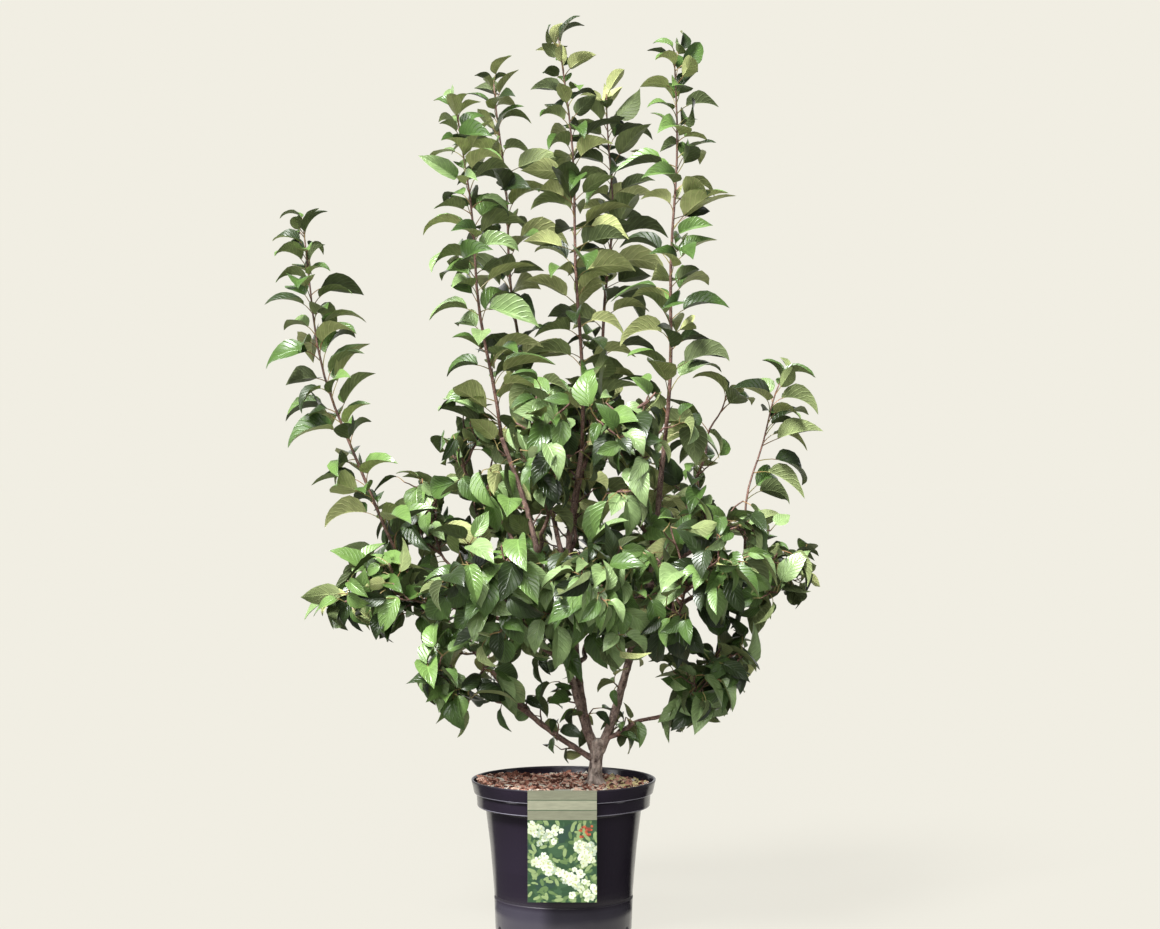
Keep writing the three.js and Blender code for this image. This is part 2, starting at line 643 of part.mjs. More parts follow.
const plant = new THREE.Group();
addPiece(plant, 'pot', geometryOf(potSolid()), MATERIALS.pot);
addPiece(plant, 'soil', geometryOf(soilSolid()), MATERIALS.soil);
const label = addPiece(plant, 'label_card', labelGeometry(), MATERIALS.label);
label.position.set(LABEL.centreX, -POT.rimRadius - 0.4, LABEL.top);
label.rotation.x = LABEL.lean;

const trunkGrown = trunkSolid(CLEARANCE);
addPiece(plant, 'trunk', geometryOf(trunkSolid()), MATERIALS.bark);
limbs.set('trunk', { grown: trunkGrown });
for (const bough of BOUGHS) {
  growBough(bough);
}
limbs.delete('trunk');

const masses = [...limbs.values()].map(growStem);
masses.forEach(growTwigs);
masses.forEach(growLeaves);

for (const { bough, solid } of limbs.values()) {
  addPiece(plant, `bough_${bough.name}`, geometryOf(solid), MATERIALS.bark);
}
for (const mass of masses) {
  addPiece(plant, `foliage_${mass.bough.name}`, geometryOf(fuse(mass.solids)), MATERIALS.leaf);
}

export default plant;
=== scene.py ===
import math
from functools import partial

import bpy
import numpy as np
from bpy.props import FloatProperty, FloatVectorProperty, IntProperty, PointerProperty
from bpy.types import Operator, Panel, PropertyGroup
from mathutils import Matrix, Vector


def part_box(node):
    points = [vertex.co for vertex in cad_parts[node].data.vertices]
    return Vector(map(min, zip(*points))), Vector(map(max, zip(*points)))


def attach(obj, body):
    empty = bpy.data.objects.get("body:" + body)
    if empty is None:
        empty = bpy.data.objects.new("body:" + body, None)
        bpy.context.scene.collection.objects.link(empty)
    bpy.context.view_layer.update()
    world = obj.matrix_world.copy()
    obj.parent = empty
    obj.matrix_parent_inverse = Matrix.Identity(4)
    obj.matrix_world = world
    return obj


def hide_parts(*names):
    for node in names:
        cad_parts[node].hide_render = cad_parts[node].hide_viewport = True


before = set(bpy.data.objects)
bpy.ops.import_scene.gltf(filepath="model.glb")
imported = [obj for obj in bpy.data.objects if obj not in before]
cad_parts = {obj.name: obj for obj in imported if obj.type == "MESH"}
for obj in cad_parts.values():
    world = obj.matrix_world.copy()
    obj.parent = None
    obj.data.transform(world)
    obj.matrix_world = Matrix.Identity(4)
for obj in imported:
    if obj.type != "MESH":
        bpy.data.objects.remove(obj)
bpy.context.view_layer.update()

bl_info = {
    "name": "Potted Crabapple",
    "version": (1, 0, 0),
    "blender": (4, 5, 0),
    "location": "View3D > Sidebar > Crabapple",
    "description": "Dresses a young potted crabapple: pot, soil, label card, bark, twigs and leaves",
    "category": "Object",
}

MM = 0.001
TURN = 2.0 * math.pi
UP = np.array((0.0, 0.0, 1.0))

# The turn round a stem from one leaf or twig to the next
GOLDEN_ANGLE = 2.39996

# Sizes in millimetres, as the solids have them

POT_HIGH = np.array(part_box("pot")[1]) / MM
POT_HEIGHT = POT_HIGH[2]
RIM_RADIUS = POT_HIGH[0]
FOOT_BAND_TOP = 51.0
SHOULDER = 184.0

# The heights of the two thin painted highlight lines under the rim
LEDGES = (208.2, 188.9)

NOTCH_COUNT = 8
NOTCH_HALF_ANGLE = 0.083
NOTCH_HEIGHT = 10.5
NOTCH_INNER_RADIUS = 97.0

SOIL_LEVEL = 217.0
SOIL_RADIUS = 131.0
SOIL_HEAP = 9.5
SOIL_HEAP_START = 20.0
SOIL_HEAP_END = 118.5
SOIL_SUNK = 1.2
SOIL_HUMP_HEIGHT = 1.1

LABEL_WIDTH = 101.0
LABEL_HEIGHT = 164.0
LABEL_THICKNESS = 1.2
LABEL_CENTRE = -1.0
LABEL_TOP = 229.6
LABEL_BACK = -140.4
LABEL_LEAN = 0.03
HOOK_WIDTH = 24.0
HOOK_REACH = 9.5
HOOK_DROP = 9.0

TRUNK_FOOT = np.array((46.5, 10.0, SOIL_LEVEL + 0.35))
TRUNK_TOP = np.array((52.0, 8.0, SOIL_LEVEL + 66.35))
TRUNK_RADIUS = 9.6
TRUNK_FLARE = 10.0
TRUNK_FLARE_HEIGHT = 6.5
TRUNK_SWELLING = 3.2
TRUNK_SWELLING_HEIGHT = 16.0
TRUNK_LOBES = 3
TRUNK_LOBE_DEPTH = 0.2
FORK_DEPTH = 14.0
CROWN_AXIS = np.array((20.0, 0.0, 0.0))

# Each limb is a bough on one bend and the stem that grows on from its tip, with the mass of leaves around it:
# name, limb that carries it, how far along that it leaves, bough's tip, bow and radii, stem's tip and bow,
# the reach of its mass, and its number of side twigs (none on an upright shoot).
LIMBS = (
    ("right", "trunk", 0, (152, -25, 731), (24, -8, 0), (6.8, 3.6),
     (166, -40, 1326), (16, 0, 0), 96, 0),
    ("left_centre", "trunk", 0, (-92, -60, 744), (24, -14, 0), (6.1, 3.2),
     (-158, -90, 1238), (-6, 0, 0), 98, 0),
    ("centre", "trunk", 0, (28, 24, 727), (-46, 16, 0), (6, 3.6),
     (-8, 20, 1356), (22, 0, 0), 98, 0),
    ("far_left", "trunk", 0, (-248, 0, 559), (0, -12, -60), (4.6, 3),
     (-397, 10, 1072), (-60, 0, 0), 96, 0),
    ("low_right", "trunk", 0, (172, -30, 336), (0, 0, 4), (3.6, 2.6),
     (238, -44, 398), (12, 0, -6), 98, 4),
    ("left_back", "centre", 0.6, (-58, 80, 802), (-8, 14, -20), (3.9, 3),
     (-110, 92, 1304), (-4, 0, 0), 96, 0),
    ("right_back", "centre", 0.72, (56, 88, 836), (4, 14, -10), (3.7, 3),
     (66, 112, 1286), (20, 0, 0), 96, 0),
    ("far_right", "right", 0.4, (252, 4, 512), (10, 0, 24), (4.4, 3),
     (330, -16, 520), (0, 0, 10), 96, 4),
    ("far_right_upper", "far_right", 0.86, (276, 16, 570), (8, 2, -8), (2.6, 2.2),
     (334, 20, 838), (-26, 0, 0), 94, 0),
    ("right_upper", "right", 0.62, (207, 50, 690), (6, 6, -16), (3.4, 2.4),
     (252, 66, 812), (-4, 0, 0), 92, 0),
    ("low_left", "far_left", 0.36, (-128, -60, 372), (4, -8, -8), (3.2, 2.6),
     (-196, -100, 398), (0, 0, 10), 100, 4),
    ("left_mid", "left_centre", 0.36, (-140, -86, 484), (0, -20, 4), (3.8, 2.8),
     (-314, -84, 520), (0, 0, 10), 100, 5),
    ("left_upper", "far_left", 0.66, (-170, 80, 540), (16, 18, 6), (3.2, 2.6),
     (-232, 110, 640), (-10, 0, 0), 104, 5),
    ("upper_left", "left_centre", 0.6, (-116, -14, 640), (0, 14, -8), (3.2, 2.6),
     (-176, -20, 742), (-12, 0, 0), 98, 4),
    ("front_left", "left_centre", 0.3, (-56, -140, 470), (10, -26, -16), (3.9, 2.8),
     (-108, -222, 560), (0, -20, 0), 112, 5),
    ("front_centre", "left_centre", 0.34, (38, -140, 470), (8, -24, -10), (3.8, 2.8),
     (52, -232, 530), (0, -16, 0), 112, 5),
    ("front_right", "right", 0.32, (158, -130, 470), (6, -22, -12), (4, 2.8),
     (206, -206, 574), (0, -14, 0), 112, 5),
    ("upper_front", "left_centre", 0.64, (-24, -124, 650), (8, -10, -10), (3.1, 2.4),
     (-34, -156, 770), (0, -12, 0), 104, 5),
    ("upper_right", "right", 0.66, (104, -108, 660), (-4, -14, -8), (3.2, 2.4),
     (96, -150, 780), (0, -12, 0), 104, 5),
    ("side_right", "right", 0.54, (206, -60, 590), (0, -8, -10), (3.4, 2.6),
     (268, -70, 650), (0, 0, 0), 98, 4),
    ("back", "centre", 0.28, (44, 150, 456), (4, 24, -24), (4, 2.8),
     (40, 232, 530), (0, 20, 0), 112, 5),
    ("back_left", "centre", 0.36, (-88, 142, 500), (-6, 24, -20), (3.8, 2.8),
     (-142, 222, 596), (0, 20, 0), 112, 5),
    ("back_right", "right", 0.36, (150, 132, 506), (0, 22, -20), (3.8, 2.8),
     (212, 196, 598), (0, 16, 0), 112, 5),
    ("upper_back", "centre", 0.64, (30, 142, 660), (0, 14, -14), (3.4, 2.6),
     (26, 188, 772), (0, 10, 0), 108, 5),
)

# How far some boughs lean from their plain curve, most of all near the foot
LEANS = {"left_centre": (-16, 0, 0), "centre": (-9, 0, 0), "right": (10, 0, 0)}

# Where some boughs start, from the trunk's top, if that isn't the common fork
FORKS = {"far_left": (0, 0, -33), "low_right": (10, -1, 3)}


# Settings


class PotSettings(PropertyGroup):
    """Finish of the pot"""

    color: FloatVectorProperty(
        name="Plastic", description="Colour of the pot", subtype="COLOR", size=3,
        default=(0.016, 0.0118, 0.0205),
    )
    roughness: FloatProperty(
        name="Roughness", description="Dullness of the pot", subtype="FACTOR", min=0, max=1, default=0.14
    )


class SoilSettings(PropertyGroup):
    """Bark compost in the pot"""

    chips: IntProperty(name="Chips", description="Number of bark chips", default=7600, min=0)
    chip_length: FloatProperty(
        name="Chip length", description="Middling length of a chip", subtype="DISTANCE", unit="LENGTH",
        default=0.006,
    )


class LabelSettings(PropertyGroup):
    """Label card"""

    flowers: IntProperty(name="Flowers", description="Number of printed flowers", default=104, min=0)
    ground: FloatVectorProperty(
        name="Ground", description="Colour behind the flowers", subtype="COLOR", size=3,
        default=(0.02, 0.06, 0.022),
    )


class BarkSettings(PropertyGroup):
    """Bark of trunk and boughs"""

    old_color: FloatVectorProperty(
        name="Old bark", description="Colour of the trunk", subtype="COLOR", size=3,
        default=(0.95, 0.80, 0.69),
    )
    young_color: FloatVectorProperty(
        name="Young bark", description="Colour of the shoots", subtype="COLOR", size=3,
        default=(0.26, 0.115, 0.08),
    )


class FoliageSettings(PropertyGroup):
    """Twigs and leaves"""

    seed: IntProperty(name="Seed", description="Start of the growth's chance", default=4137)
    leaf_length: FloatProperty(
        name="Leaf length", description="Length of a leaf of the crown with its stalk", subtype="DISTANCE",
        unit="LENGTH", default=0.080,
    )
    shoot_leaf_length: FloatProperty(
        name="Shoot leaf length", description="Length of a leaf of an upright shoot with its stalk",
        subtype="DISTANCE", unit="LENGTH", default=0.104,
    )


class StageSettings(PropertyGroup):
    """Backdrop, lights and camera"""

    backdrop: FloatVectorProperty(
        name="Backdrop", description="Colour of floor and backdrop", subtype="COLOR", size=3,
        default=(0.879, 0.855, 0.768),
    )
    sky: FloatProperty(name="Sky", description="Strength of the light from all round", default=0.13, min=0)
    key: FloatProperty(name="Key", description="Strength of the key light", default=8.5, min=0)
    fill: FloatProperty(name="Fill", description="Strength of the fill light", default=2.0, min=0)


# Meshes


def make_piece(name, points, faces, slots=None, uv=None, attributes=None, smooth=True, sharp=None):
    """A mesh object in metres from points in millimetres and a list of face arrays, one for each number of
    corners. slots holds a material number for each face, uv a pair for each point, and attributes further
    numbers for each point."""
    faces = [np.asarray(group, dtype=np.int32) for group in faces if len(group)]
    corners = np.concatenate([group.ravel() for group in faces])
    sizes = np.concatenate([np.full(len(group), group.shape[1], dtype=np.int32) for group in faces])
    mesh = bpy.data.meshes.new(name)
    mesh.vertices.add(len(points))
    mesh.vertices.foreach_set("co", (np.asarray(points) * MM).astype(np.float32).ravel())
    mesh.loops.add(len(corners))
    mesh.loops.foreach_set("vertex_index", corners)
    mesh.polygons.add(len(sizes))
    mesh.polygons.foreach_set("loop_start", (np.cumsum(sizes) - sizes).astype(np.int32))
    mesh.polygons.foreach_set("use_smooth", np.full(len(sizes), smooth))
    if slots is not None:
        mesh.polygons.foreach_set("material_index", np.asarray(slots, dtype=np.int32))
    mesh.update(calc_edges=True)
    if uv is not None:
        layer = mesh.uv_layers.new(name="surface")
        layer.uv.foreach_set("vector", np.asarray(uv, dtype=np.float32)[corners].ravel())
    for key, values in (attributes or {}).items():
        attribute = mesh.attributes.new(key, "FLOAT", "POINT")
        attribute.data.foreach_set("value", np.asarray(values, dtype=np.float32))
    mesh.validate()
    if sharp is not None:
        mesh.set_sharp_from_angle(angle=math.radians(sharp))
    piece = bpy.data.objects.new(name, mesh)
    bpy.context.scene.collection.objects.link(piece)
    return piece


def dress(piece, materials, slot, *nodes):
    """Gives a piece its materials, hangs it under the root body and hides the solids that it stands for."""
    for material in materials:
        piece.data.materials.append(material)
    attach(piece, "root")
    if nodes:
        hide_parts(*nodes)


def grid_quads(rows, columns, wrap=False):
    """The quads of a grid of points counted row by row. wrap joins the last column to the first."""
    row = np.arange(rows - 1)[:, None] * columns
    column = np.arange(columns if wrap else columns - 1)[None, :]
    onward = (column + 1) % columns
    quads = np.stack([row + column, row + onward, row + columns + onward, row + columns + column], axis=-1)
    return quads.reshape(-1, 4)


def repeat_faces(faces, count, step):
    """The faces of one copy, repeated for count copies that have step points each."""
    return (faces[None] + (np.arange(count) * step)[:, None, None]).reshape(-1, faces.shape[1])


def unit(vectors):
    return vectors / np.linalg.norm(vectors, axis=-1, keepdims=True)


def waves(random, terms, around, along, *, turns, pitch):
    """Smooth uneven relief on a limb: a sum of sine waves in the angle around it and the distance along it,
    with whole numbers of turns, so that it closes, and chance phases. It keeps within about -1 to 1."""
    total = np.zeros(np.broadcast(around, along).shape)
    for _ in range(terms):
        lobes = random.integers(0, turns + 1)
        total += np.sin(lobes * around + random.uniform(-pitch, pitch) * along + random.uniform(0, TURN))
    return total / math.sqrt(terms)


# Limbs

# A limb's sway: its two waves, as half turns from foot to tip, and how far boughs and stems sway
SWAY_WAVES = (2.6, 3.4)
BOUGH_SWAY = 4.0
STEM_SWAY = 5.0

# A stem starts at this share of its bough's tip radius, and ends in this radius
STEM_SHARE = 0.9
STEM_TIP_RADIUS = 1.0


def bezier(start, end, bow, t):
    """Points on a limb's course: a quadratic curve from start to end, whose middle control point is the
    middle of the straight line moved by bow. Returns the points and the unit directions there."""
    control = (start + end) / 2 + np.asarray(bow, float)
    t = np.asarray(t, float)[:, None]
    points = (1 - t) ** 2 * start + 2 * t * (1 - t) * control + t**2 * end
    slopes = 2 * (1 - t) * (control - start) + 2 * t * (end - control)
    return points, unit(slopes)


def cross_axes(tangents, chord):
    """Two directions square to a limb's course, the same way round all along it."""
    near_y = abs(chord[1]) >= 0.8 * np.linalg.norm(chord)
    side = unit(np.cross(tangents, (1.0, 0.0, 0.0) if near_y else (0.0, 1.0, 0.0)))
    return side, np.cross(tangents, side)


class Limb:
    """One bough, stem or twig: its course, and its radius from foot to tip. Its course sways from the plain
    curve by two sine waves that die out at both ends, and may lean to one side, most of all near its foot.
    reach is how far along it is made."""

    def __init__(self, name, start, end, bow, radii, sway, lean=(0, 0, 0), carrier=None, foot=0.0):
        self.name, self.bow, self.radii, self.sway = name, bow, radii, sway
        self.start, self.end, self.lean = (np.asarray(place, float) for place in (start, end, lean))
        self.carrier, self.foot, self.reach = carrier, foot, 1.0
        points, _ = self.at(np.linspace(0, 1, 33))
        self.length = float(np.linalg.norm(np.diff(points, axis=0), axis=1).sum())

    def course(self, t):
        """Points at each t, which runs from 0 at the foot to 1 at the tip."""
        points, tangents = bezier(self.start, self.end, self.bow, t)
        side, other = cross_axes(tangents, self.end - self.start)
        phase = float(self.start.sum() + self.end.sum())
        fade = np.sin(math.pi * t)
        wave = self.sway * (fade * np.sin(SWAY_WAVES[0] * math.pi * t + phase))[:, None] * side
        wave += self.sway * (fade * np.sin(SWAY_WAVES[1] * math.pi * t + 2 * phase))[:, None] * other
        return points + wave + np.sin(math.pi * np.sqrt(np.clip(t, 0, 1)))[:, None] * self.lean

    def at(self, t):
        """Points and unit directions at each t."""
        t = np.atleast_1d(np.asarray(t, float))
        step = 0.01
        return self.course(t), unit(self.course(t + step) - self.course(t - step))

    def radius(self, t):
        return self.radii[0] + (self.radii[1] - self.radii[0]) * np.asarray(t)


def build_skeleton():
    """The boughs and the stems that grow on from their tips, by name, from the table of limbs."""
    boughs, stems = {}, {}
    for name, carrier, at, tip, bow, radii, stem_tip, stem_bow, _, _ in LIMBS:
        if carrier == "trunk":
            start = TRUNK_TOP + FORKS.get(name, (0, 0, -FORK_DEPTH))
        else:
            start = boughs[carrier].at(at)[0][0]
        lean = LEANS.get(name, (0, 0, 0))
        boughs[name] = Limb(name, start, tip, bow, radii, BOUGH_SWAY, lean, boughs.get(carrier), at)
        stems[name] = Limb(
            name, tip, stem_tip, stem_bow, (radii[1] * STEM_SHARE, STEM_TIP_RADIUS), STEM_SWAY)
    return boughs, stems


def tube_points(limb, rings, sides, swell=None):
    """Points of a tapering round tube: circles square to the limb's course, at even steps along it, whose
    radius falls from foot to tip. swell(angle, distance, radius) adds to the radius. Also gives a map in
    metres around and along, and the radii."""
    t = np.linspace(0, limb.reach, rings)
    centres, tangents = limb.at(t)
    side, other = cross_axes(tangents, limb.end - limb.start)
    angle = np.linspace(0, TURN, sides, endpoint=False)[None, :]
    distance = (t * limb.length)[:, None]
    radius = np.broadcast_to(limb.radius(t)[:, None], (rings, sides))
    if swell is not None:
        radius = radius + swell(angle, distance, radius)
    around = side[:, None] * np.cos(angle)[..., None] + other[:, None] * np.sin(angle)[..., None]
    points = centres[:, None] + around * radius[..., None]
    uv = np.stack(np.broadcast_arrays(angle * limb.radii[0] * MM, distance * MM), axis=-1)
    return points, uv, radius


def tube_faces(rings, sides):
    """Quads round a tube, and triangles that close its two ends on the tube's own points."""
    quads = grid_quads(rings, sides, wrap=True)
    fan = np.arange(1, sides - 1)
    foot = np.stack([np.zeros_like(fan), fan + 1, fan], axis=-1)
    last = (rings - 1) * sides
    tip = np.stack([np.zeros_like(fan) + last, last + fan, last + fan + 1], axis=-1)
    return quads, np.concatenate([foot, tip])


# Shader nodes


def set_inputs(tree, node, inputs):
    """Sets inputs of a node by name or number. A value is a number or vector, three numbers for a colour, or
    the output of another node, which is linked."""
    for key, value in inputs.items():
        socket = node.inputs[key]
        if isinstance(value, bpy.types.NodeSocket):
            tree.links.new(value, socket)
        elif socket.type == "RGBA":
            socket.default_value = (*value, 1.0)
        else:
            socket.default_value = value


def add_node(tree, kind, inputs=None, **settings):
    """A node of a kind, with its attributes set by name, and then its inputs."""
    node = tree.nodes.new(kind)
    for key, value in settings.items():
        setattr(node, key, value)
    set_inputs(tree, node, inputs or {})
    return node


def work_out(tree, operation, *values):
    """The result of a sum on one to three values, each a number or an output."""
    return add_node(tree, "ShaderNodeMath", dict(enumerate(values)), operation=operation).outputs[0]


def map_range(tree, value, low, high, start=0.0, end=1.0):
    """A value's place between low and high, as a number from start to end."""
    return add_node(tree, "ShaderNodeMapRange", {
        "Value": value, "From Min": low, "From Max": high, "To Min": start, "To Max": end}).outputs["Result"]


def mix_colors(tree, factor, first, second):
    """The first of two colours, moved towards the second by a factor."""
    colors = {"Factor": factor, "A": first, "B": second}
    return add_node(tree, "ShaderNodeMix", colors, data_type="RGBA").outputs["Result"]


def soft_noise(tree, vector, scale, detail, roughness=0.5):
    return add_node(tree, "ShaderNodeTexNoise", {
        "Vector": vector, "Scale": scale, "Detail": detail, "Roughness": roughness}).outputs["Fac"]


def stretched(tree, vector, scale, location=(0, 0, 0)):
    """A place, scaled and then moved along each axis."""
    return add_node(tree, "ShaderNodeMapping", {
        "Vector": vector, "Scale": scale, "Location": location}).outputs["Vector"]


def split(tree, vector):
    """The outputs X, Y and Z of a vector."""
    return add_node(tree, "ShaderNodeSeparateXYZ", {0: vector}).outputs


def place_on_object(tree):
    return add_node(tree, "ShaderNodeTexCoord").outputs["Object"]


def place_on_surface(tree):
    return add_node(tree, "ShaderNodeUVMap", uv_map="surface").outputs["UV"]


def raised(tree, height, strength, distance):
    """The normal of a surface that is raised by a height."""
    return add_node(tree, "ShaderNodeBump", {
        "Height": height, "Strength": strength, "Distance": distance}).outputs["Normal"]


def new_group(name, inputs, outputs):
    """An empty node group. inputs and outputs hold the socket kinds by name. Gives the group, the outputs of
    its input node, and its output node."""
    tree = bpy.data.node_groups.new(name, "ShaderNodeTree")
    for direction, sockets in (("INPUT", inputs), ("OUTPUT", outputs)):
        for label, kind in sockets.items():
            tree.interface.new_socket(label, in_out=direction, socket_type=f"NodeSocket{kind}")
    return tree, tree.nodes.new("NodeGroupInput").outputs, tree.nodes.new("NodeGroupOutput")


def place_group(tree, group, **inputs):
    return add_node(tree, "ShaderNodeGroup", inputs, node_tree=group).outputs


def mottle_group():
    """Uneven colour: soft noise moves a colour towards a second one, as far as the mask says."""
    if "Mottle" in bpy.data.node_groups:
        return bpy.data.node_groups["Mottle"]
    tree, given, made = new_group(
        "Mottle",
        {"Vector": "Vector", "Color": "Color", "Second": "Color", "Scale": "Float", "Amount": "Float"},
        {"Color": "Color", "Mask": "Float"},
    )
    mask = map_range(tree, soft_noise(tree, given["Vector"], given["Scale"], 4.0, 0.6), 0.32, 0.68)
    amount = work_out(tree, "MULTIPLY", mask, given["Amount"])
    set_inputs(tree, made, {"Color": mix_colors(tree, amount, given["Color"], given["Second"]), "Mask": mask})
    return tree


def vein_group():
    """Leaf veins in the leaf's own map, where x runs from stalk to tip and y across from edge to edge: a
    midrib where y is a half, and side veins that leave it forwards at even steps."""
    if "Leaf veins" in bpy.data.node_groups:
        return bpy.data.node_groups["Leaf veins"]
    tree, given, made = new_group(
        "Leaf veins", {"Vector": "Vector", "Veins": "Float"}, {"Mask": "Float", "Height": "Float"})
    along_and_across = split(tree, given["Vector"])
    across = work_out(tree, "ABSOLUTE", work_out(tree, "SUBTRACT", along_and_across["Y"], 0.5))
    lag = work_out(tree, "MULTIPLY", across, 0.62)
    course = work_out(tree, "SUBTRACT", along_and_across["X"], lag)
    part = work_out(tree, "PINGPONG", work_out(tree, "MULTIPLY", course, given["Veins"]), 0.5)
    side_veins = map_range(tree, part, 0.0, 0.16, 1.0, 0.0)
    midrib = map_range(tree, across, 0.0, 0.045, 1.0, 0.0)
    veins = work_out(tree, "MAXIMUM", side_veins, midrib)
    set_inputs(tree, made, {"Mask": veins, "Height": work_out(tree, "SUBTRACT", 1.0, veins)})
    return tree


def new_material(name, color=(0.5, 0.5, 0.5), roughness=0.5, specular=0.5):
    material = bpy.data.materials.new(name)
    material.use_nodes = True
    tree = material.node_tree
    shader = tree.nodes["Principled BSDF"]
    set_inputs(tree, shader, {"Base Color": color, "Roughness": roughness, "Specular IOR Level": specular})
    return material, tree, shader


def tinted(color, factor):
    """A colour times a factor, kept within what a surface can throw back."""
    return tuple(min(1.0, channel * factor) for channel in color)


def mottled_material(name, color, second, scale, amount, *, roughness=0.5, specular=0.5, stretch=(1, 1, 1),
                     relief=None):
    """A material whose colour is mottled with a second one, and whose surface is raised by the same mottle.
    relief holds how strongly, and how far in metres."""
    material, tree, shader = new_material(name, color, roughness, specular)
    place = stretched(tree, place_on_object(tree), stretch)
    mottle = place_group(
        tree, mottle_group(), Vector=place, Color=color, Second=second, Scale=scale, Amount=amount)
    set_inputs(tree, shader, {"Base Color": mottle["Color"]})
    if relief:
        set_inputs(tree, shader, {"Normal": raised(tree, mottle["Mask"], *relief)})
    return material


# Pot

# The first points of the pot's outline, which the notches in its foot lift
FOOT_POINTS = 8


def rounded(points, radii, steps=4):
    """An outline with its corners rounded: each corner that has a radius becomes a quadratic arc between the
    two points that lie that far from it along its sides."""
    points = np.asarray(points, float)
    outline = [points[:1]]
    for before, corner, after, radius in zip(points[:-2], points[1:-1], points[2:], radii[1:-1]):
        if radius == 0:
            outline.append(corner[None])
            continue
        start = corner + unit(before - corner) * min(radius, np.linalg.norm(before - corner) / 2)
        end = corner + unit(after - corner) * min(radius, np.linalg.norm(after - corner) / 2)
        t = np.linspace(0, 1, steps)[:, None]
        outline.append((1 - t) ** 2 * start + 2 * t * (1 - t) * corner + t**2 * end)
    outline.append(points[-1:])
    return np.concatenate(outline)


def pot_profile():
    """The pot's outline from the middle of its underside, up the outside, over the rim and down inside: each
    corner's distance from the axis, its height and the radius that rounds it."""
    corners = (
        (0, 0, 0), (NOTCH_INNER_RADIUS - 0.5, 0, 0), (NOTCH_INNER_RADIUS, 0, 0), (99, 0, 0), (103.2, 0, 1.6),
        (104.2, 24, 0), (105.2, FOOT_BAND_TOP - 1.5, 0.8), (103.9, FOOT_BAND_TOP, 0.6), (104.3, 56, 0),
        (107.9, 92, 0), (111.5, 130, 0), (118.3, SHOULDER, 1.2), (131, 187.6, 1.6), (131.4, 196, 0),
        (132, 205.4, 1.0), (131.7, 206.6, 0.3), (135.7, 207.3, 1.2), (138, 218, 0),
        (RIM_RADIUS, POT_HEIGHT - 1, 1.0), (RIM_RADIUS - 1.6, POT_HEIGHT, 1.0),
        (RIM_RADIUS - 3.4, POT_HEIGHT - 0.8, 0.8), (132.5, 209, 1.5), (128.5, 204, 1.5), (127.5, 190.5, 1.5),
        (115.5, 185, 1.5), (101, 6, 2.0), (0, 4, 0),
    )
    corners = np.asarray(corners, float)
    return rounded(corners[:, :2], corners[:, 2])


def make_pot(settings):
    """The profile turned about the upright axis. Round the foot the lower edge is lifted in even arches:
    its height is an arch of half an ellipse in the angle from the nearest notch's middle."""
    profile = pot_profile()
    segments = 288
    angle = np.linspace(0, TURN, segments, endpoint=False)
    pitch = TURN / NOTCH_COUNT
    offset = np.abs((angle % pitch) - pitch / 2) / NOTCH_HALF_ANGLE
    arch = NOTCH_HEIGHT * np.sqrt(np.clip(1 - offset**2, 0, 1))
    radius, height = profile[1:-1, 0][:, None], profile[1:-1, 1][:, None]
    at_foot = (np.arange(len(radius)) < FOOT_POINTS)[:, None] & (radius >= NOTCH_INNER_RADIUS)
    lifted = np.where(at_foot, np.maximum(height, arch[None]), height)
    wall = np.stack([radius * np.cos(angle), radius * np.sin(angle), lifted], axis=-1)
    rows = wall.shape[0]
    centres = np.array([(0, 0, 0), (0, 0, profile[-1, 1])])
    points = np.concatenate([wall.reshape(-1, 3), centres])
    quads = grid_quads(rows, segments, wrap=True)
    column = np.arange(segments)
    onward = (column + 1) % segments
    under = np.stack([onward, column, np.full(segments, rows * segments)], axis=-1)
    floor = (rows - 1) * segments
    inside_floor = np.stack([floor + column, floor + onward, np.full(segments, rows * segments + 1)], axis=-1)
    piece = make_piece("pot_shell", points, [quads, np.concatenate([under, inside_floor])], sharp=38)
    dress(piece, [pot_material(settings)], "pot_plastic", "pot")


def pot_material(settings):
    """Glossy near-black plastic: faint wipe marks that run round it, fine grain, a duller rim's top and step
    of the foot, a foot band painted greyer towards its bottom as a painted reflection of the pale floor, and
    a thin painted highlight line along each ledge under the rim."""
    material, tree, shader = new_material("Pot plastic", settings.color, settings.roughness)
    place = place_on_object(tree)
    height = split(tree, place)["Z"]
    wipes = soft_noise(tree, stretched(tree, place, (3.0, 3.0, 55.0)), 6.0, 5.0, 0.65)
    gloss = map_range(tree, wipes, 0.3, 0.75, settings.roughness * 0.75, settings.roughness * 1.7)
    rim_top = (POT_HEIGHT - 4) * MM
    worn = map_range(tree, height, rim_top, rim_top + 2.5 * MM, 0.0, 0.26)
    step = work_out(tree, "COMPARE", height, FOOT_BAND_TOP * MM, 2.5 * MM)
    # Painted reflection: the foot band is mixed greyer and bluer towards its bottom, standing for the pale
    # floor mirrored in it
    low = map_range(tree, height, (FOOT_BAND_TOP - 9) * MM, FOOT_BAND_TOP * MM, 0.24, 0.0)
    band = mix_colors(tree, low, settings.color, (0.118, 0.116, 0.145))
    # Painted highlight: a thin pale line in the base colour along each ledge under the rim
    lines = [work_out(tree, "COMPARE", height, level * MM, 0.6 * MM) for level in LEDGES]
    lit = work_out(tree, "MULTIPLY", work_out(tree, "MAXIMUM", *lines), 0.6)
    set_inputs(tree, shader, {
        "Base Color": mix_colors(tree, lit, band, (0.36, 0.35, 0.42)),
        "Roughness": work_out(tree, "MULTIPLY_ADD", step, 0.4, work_out(tree, "ADD", gloss, worn)),
        "Normal": raised(tree, soft_noise(tree, place, 900.0, 2.0), 0.12, 0.0002),
    })
    return material


# Soil

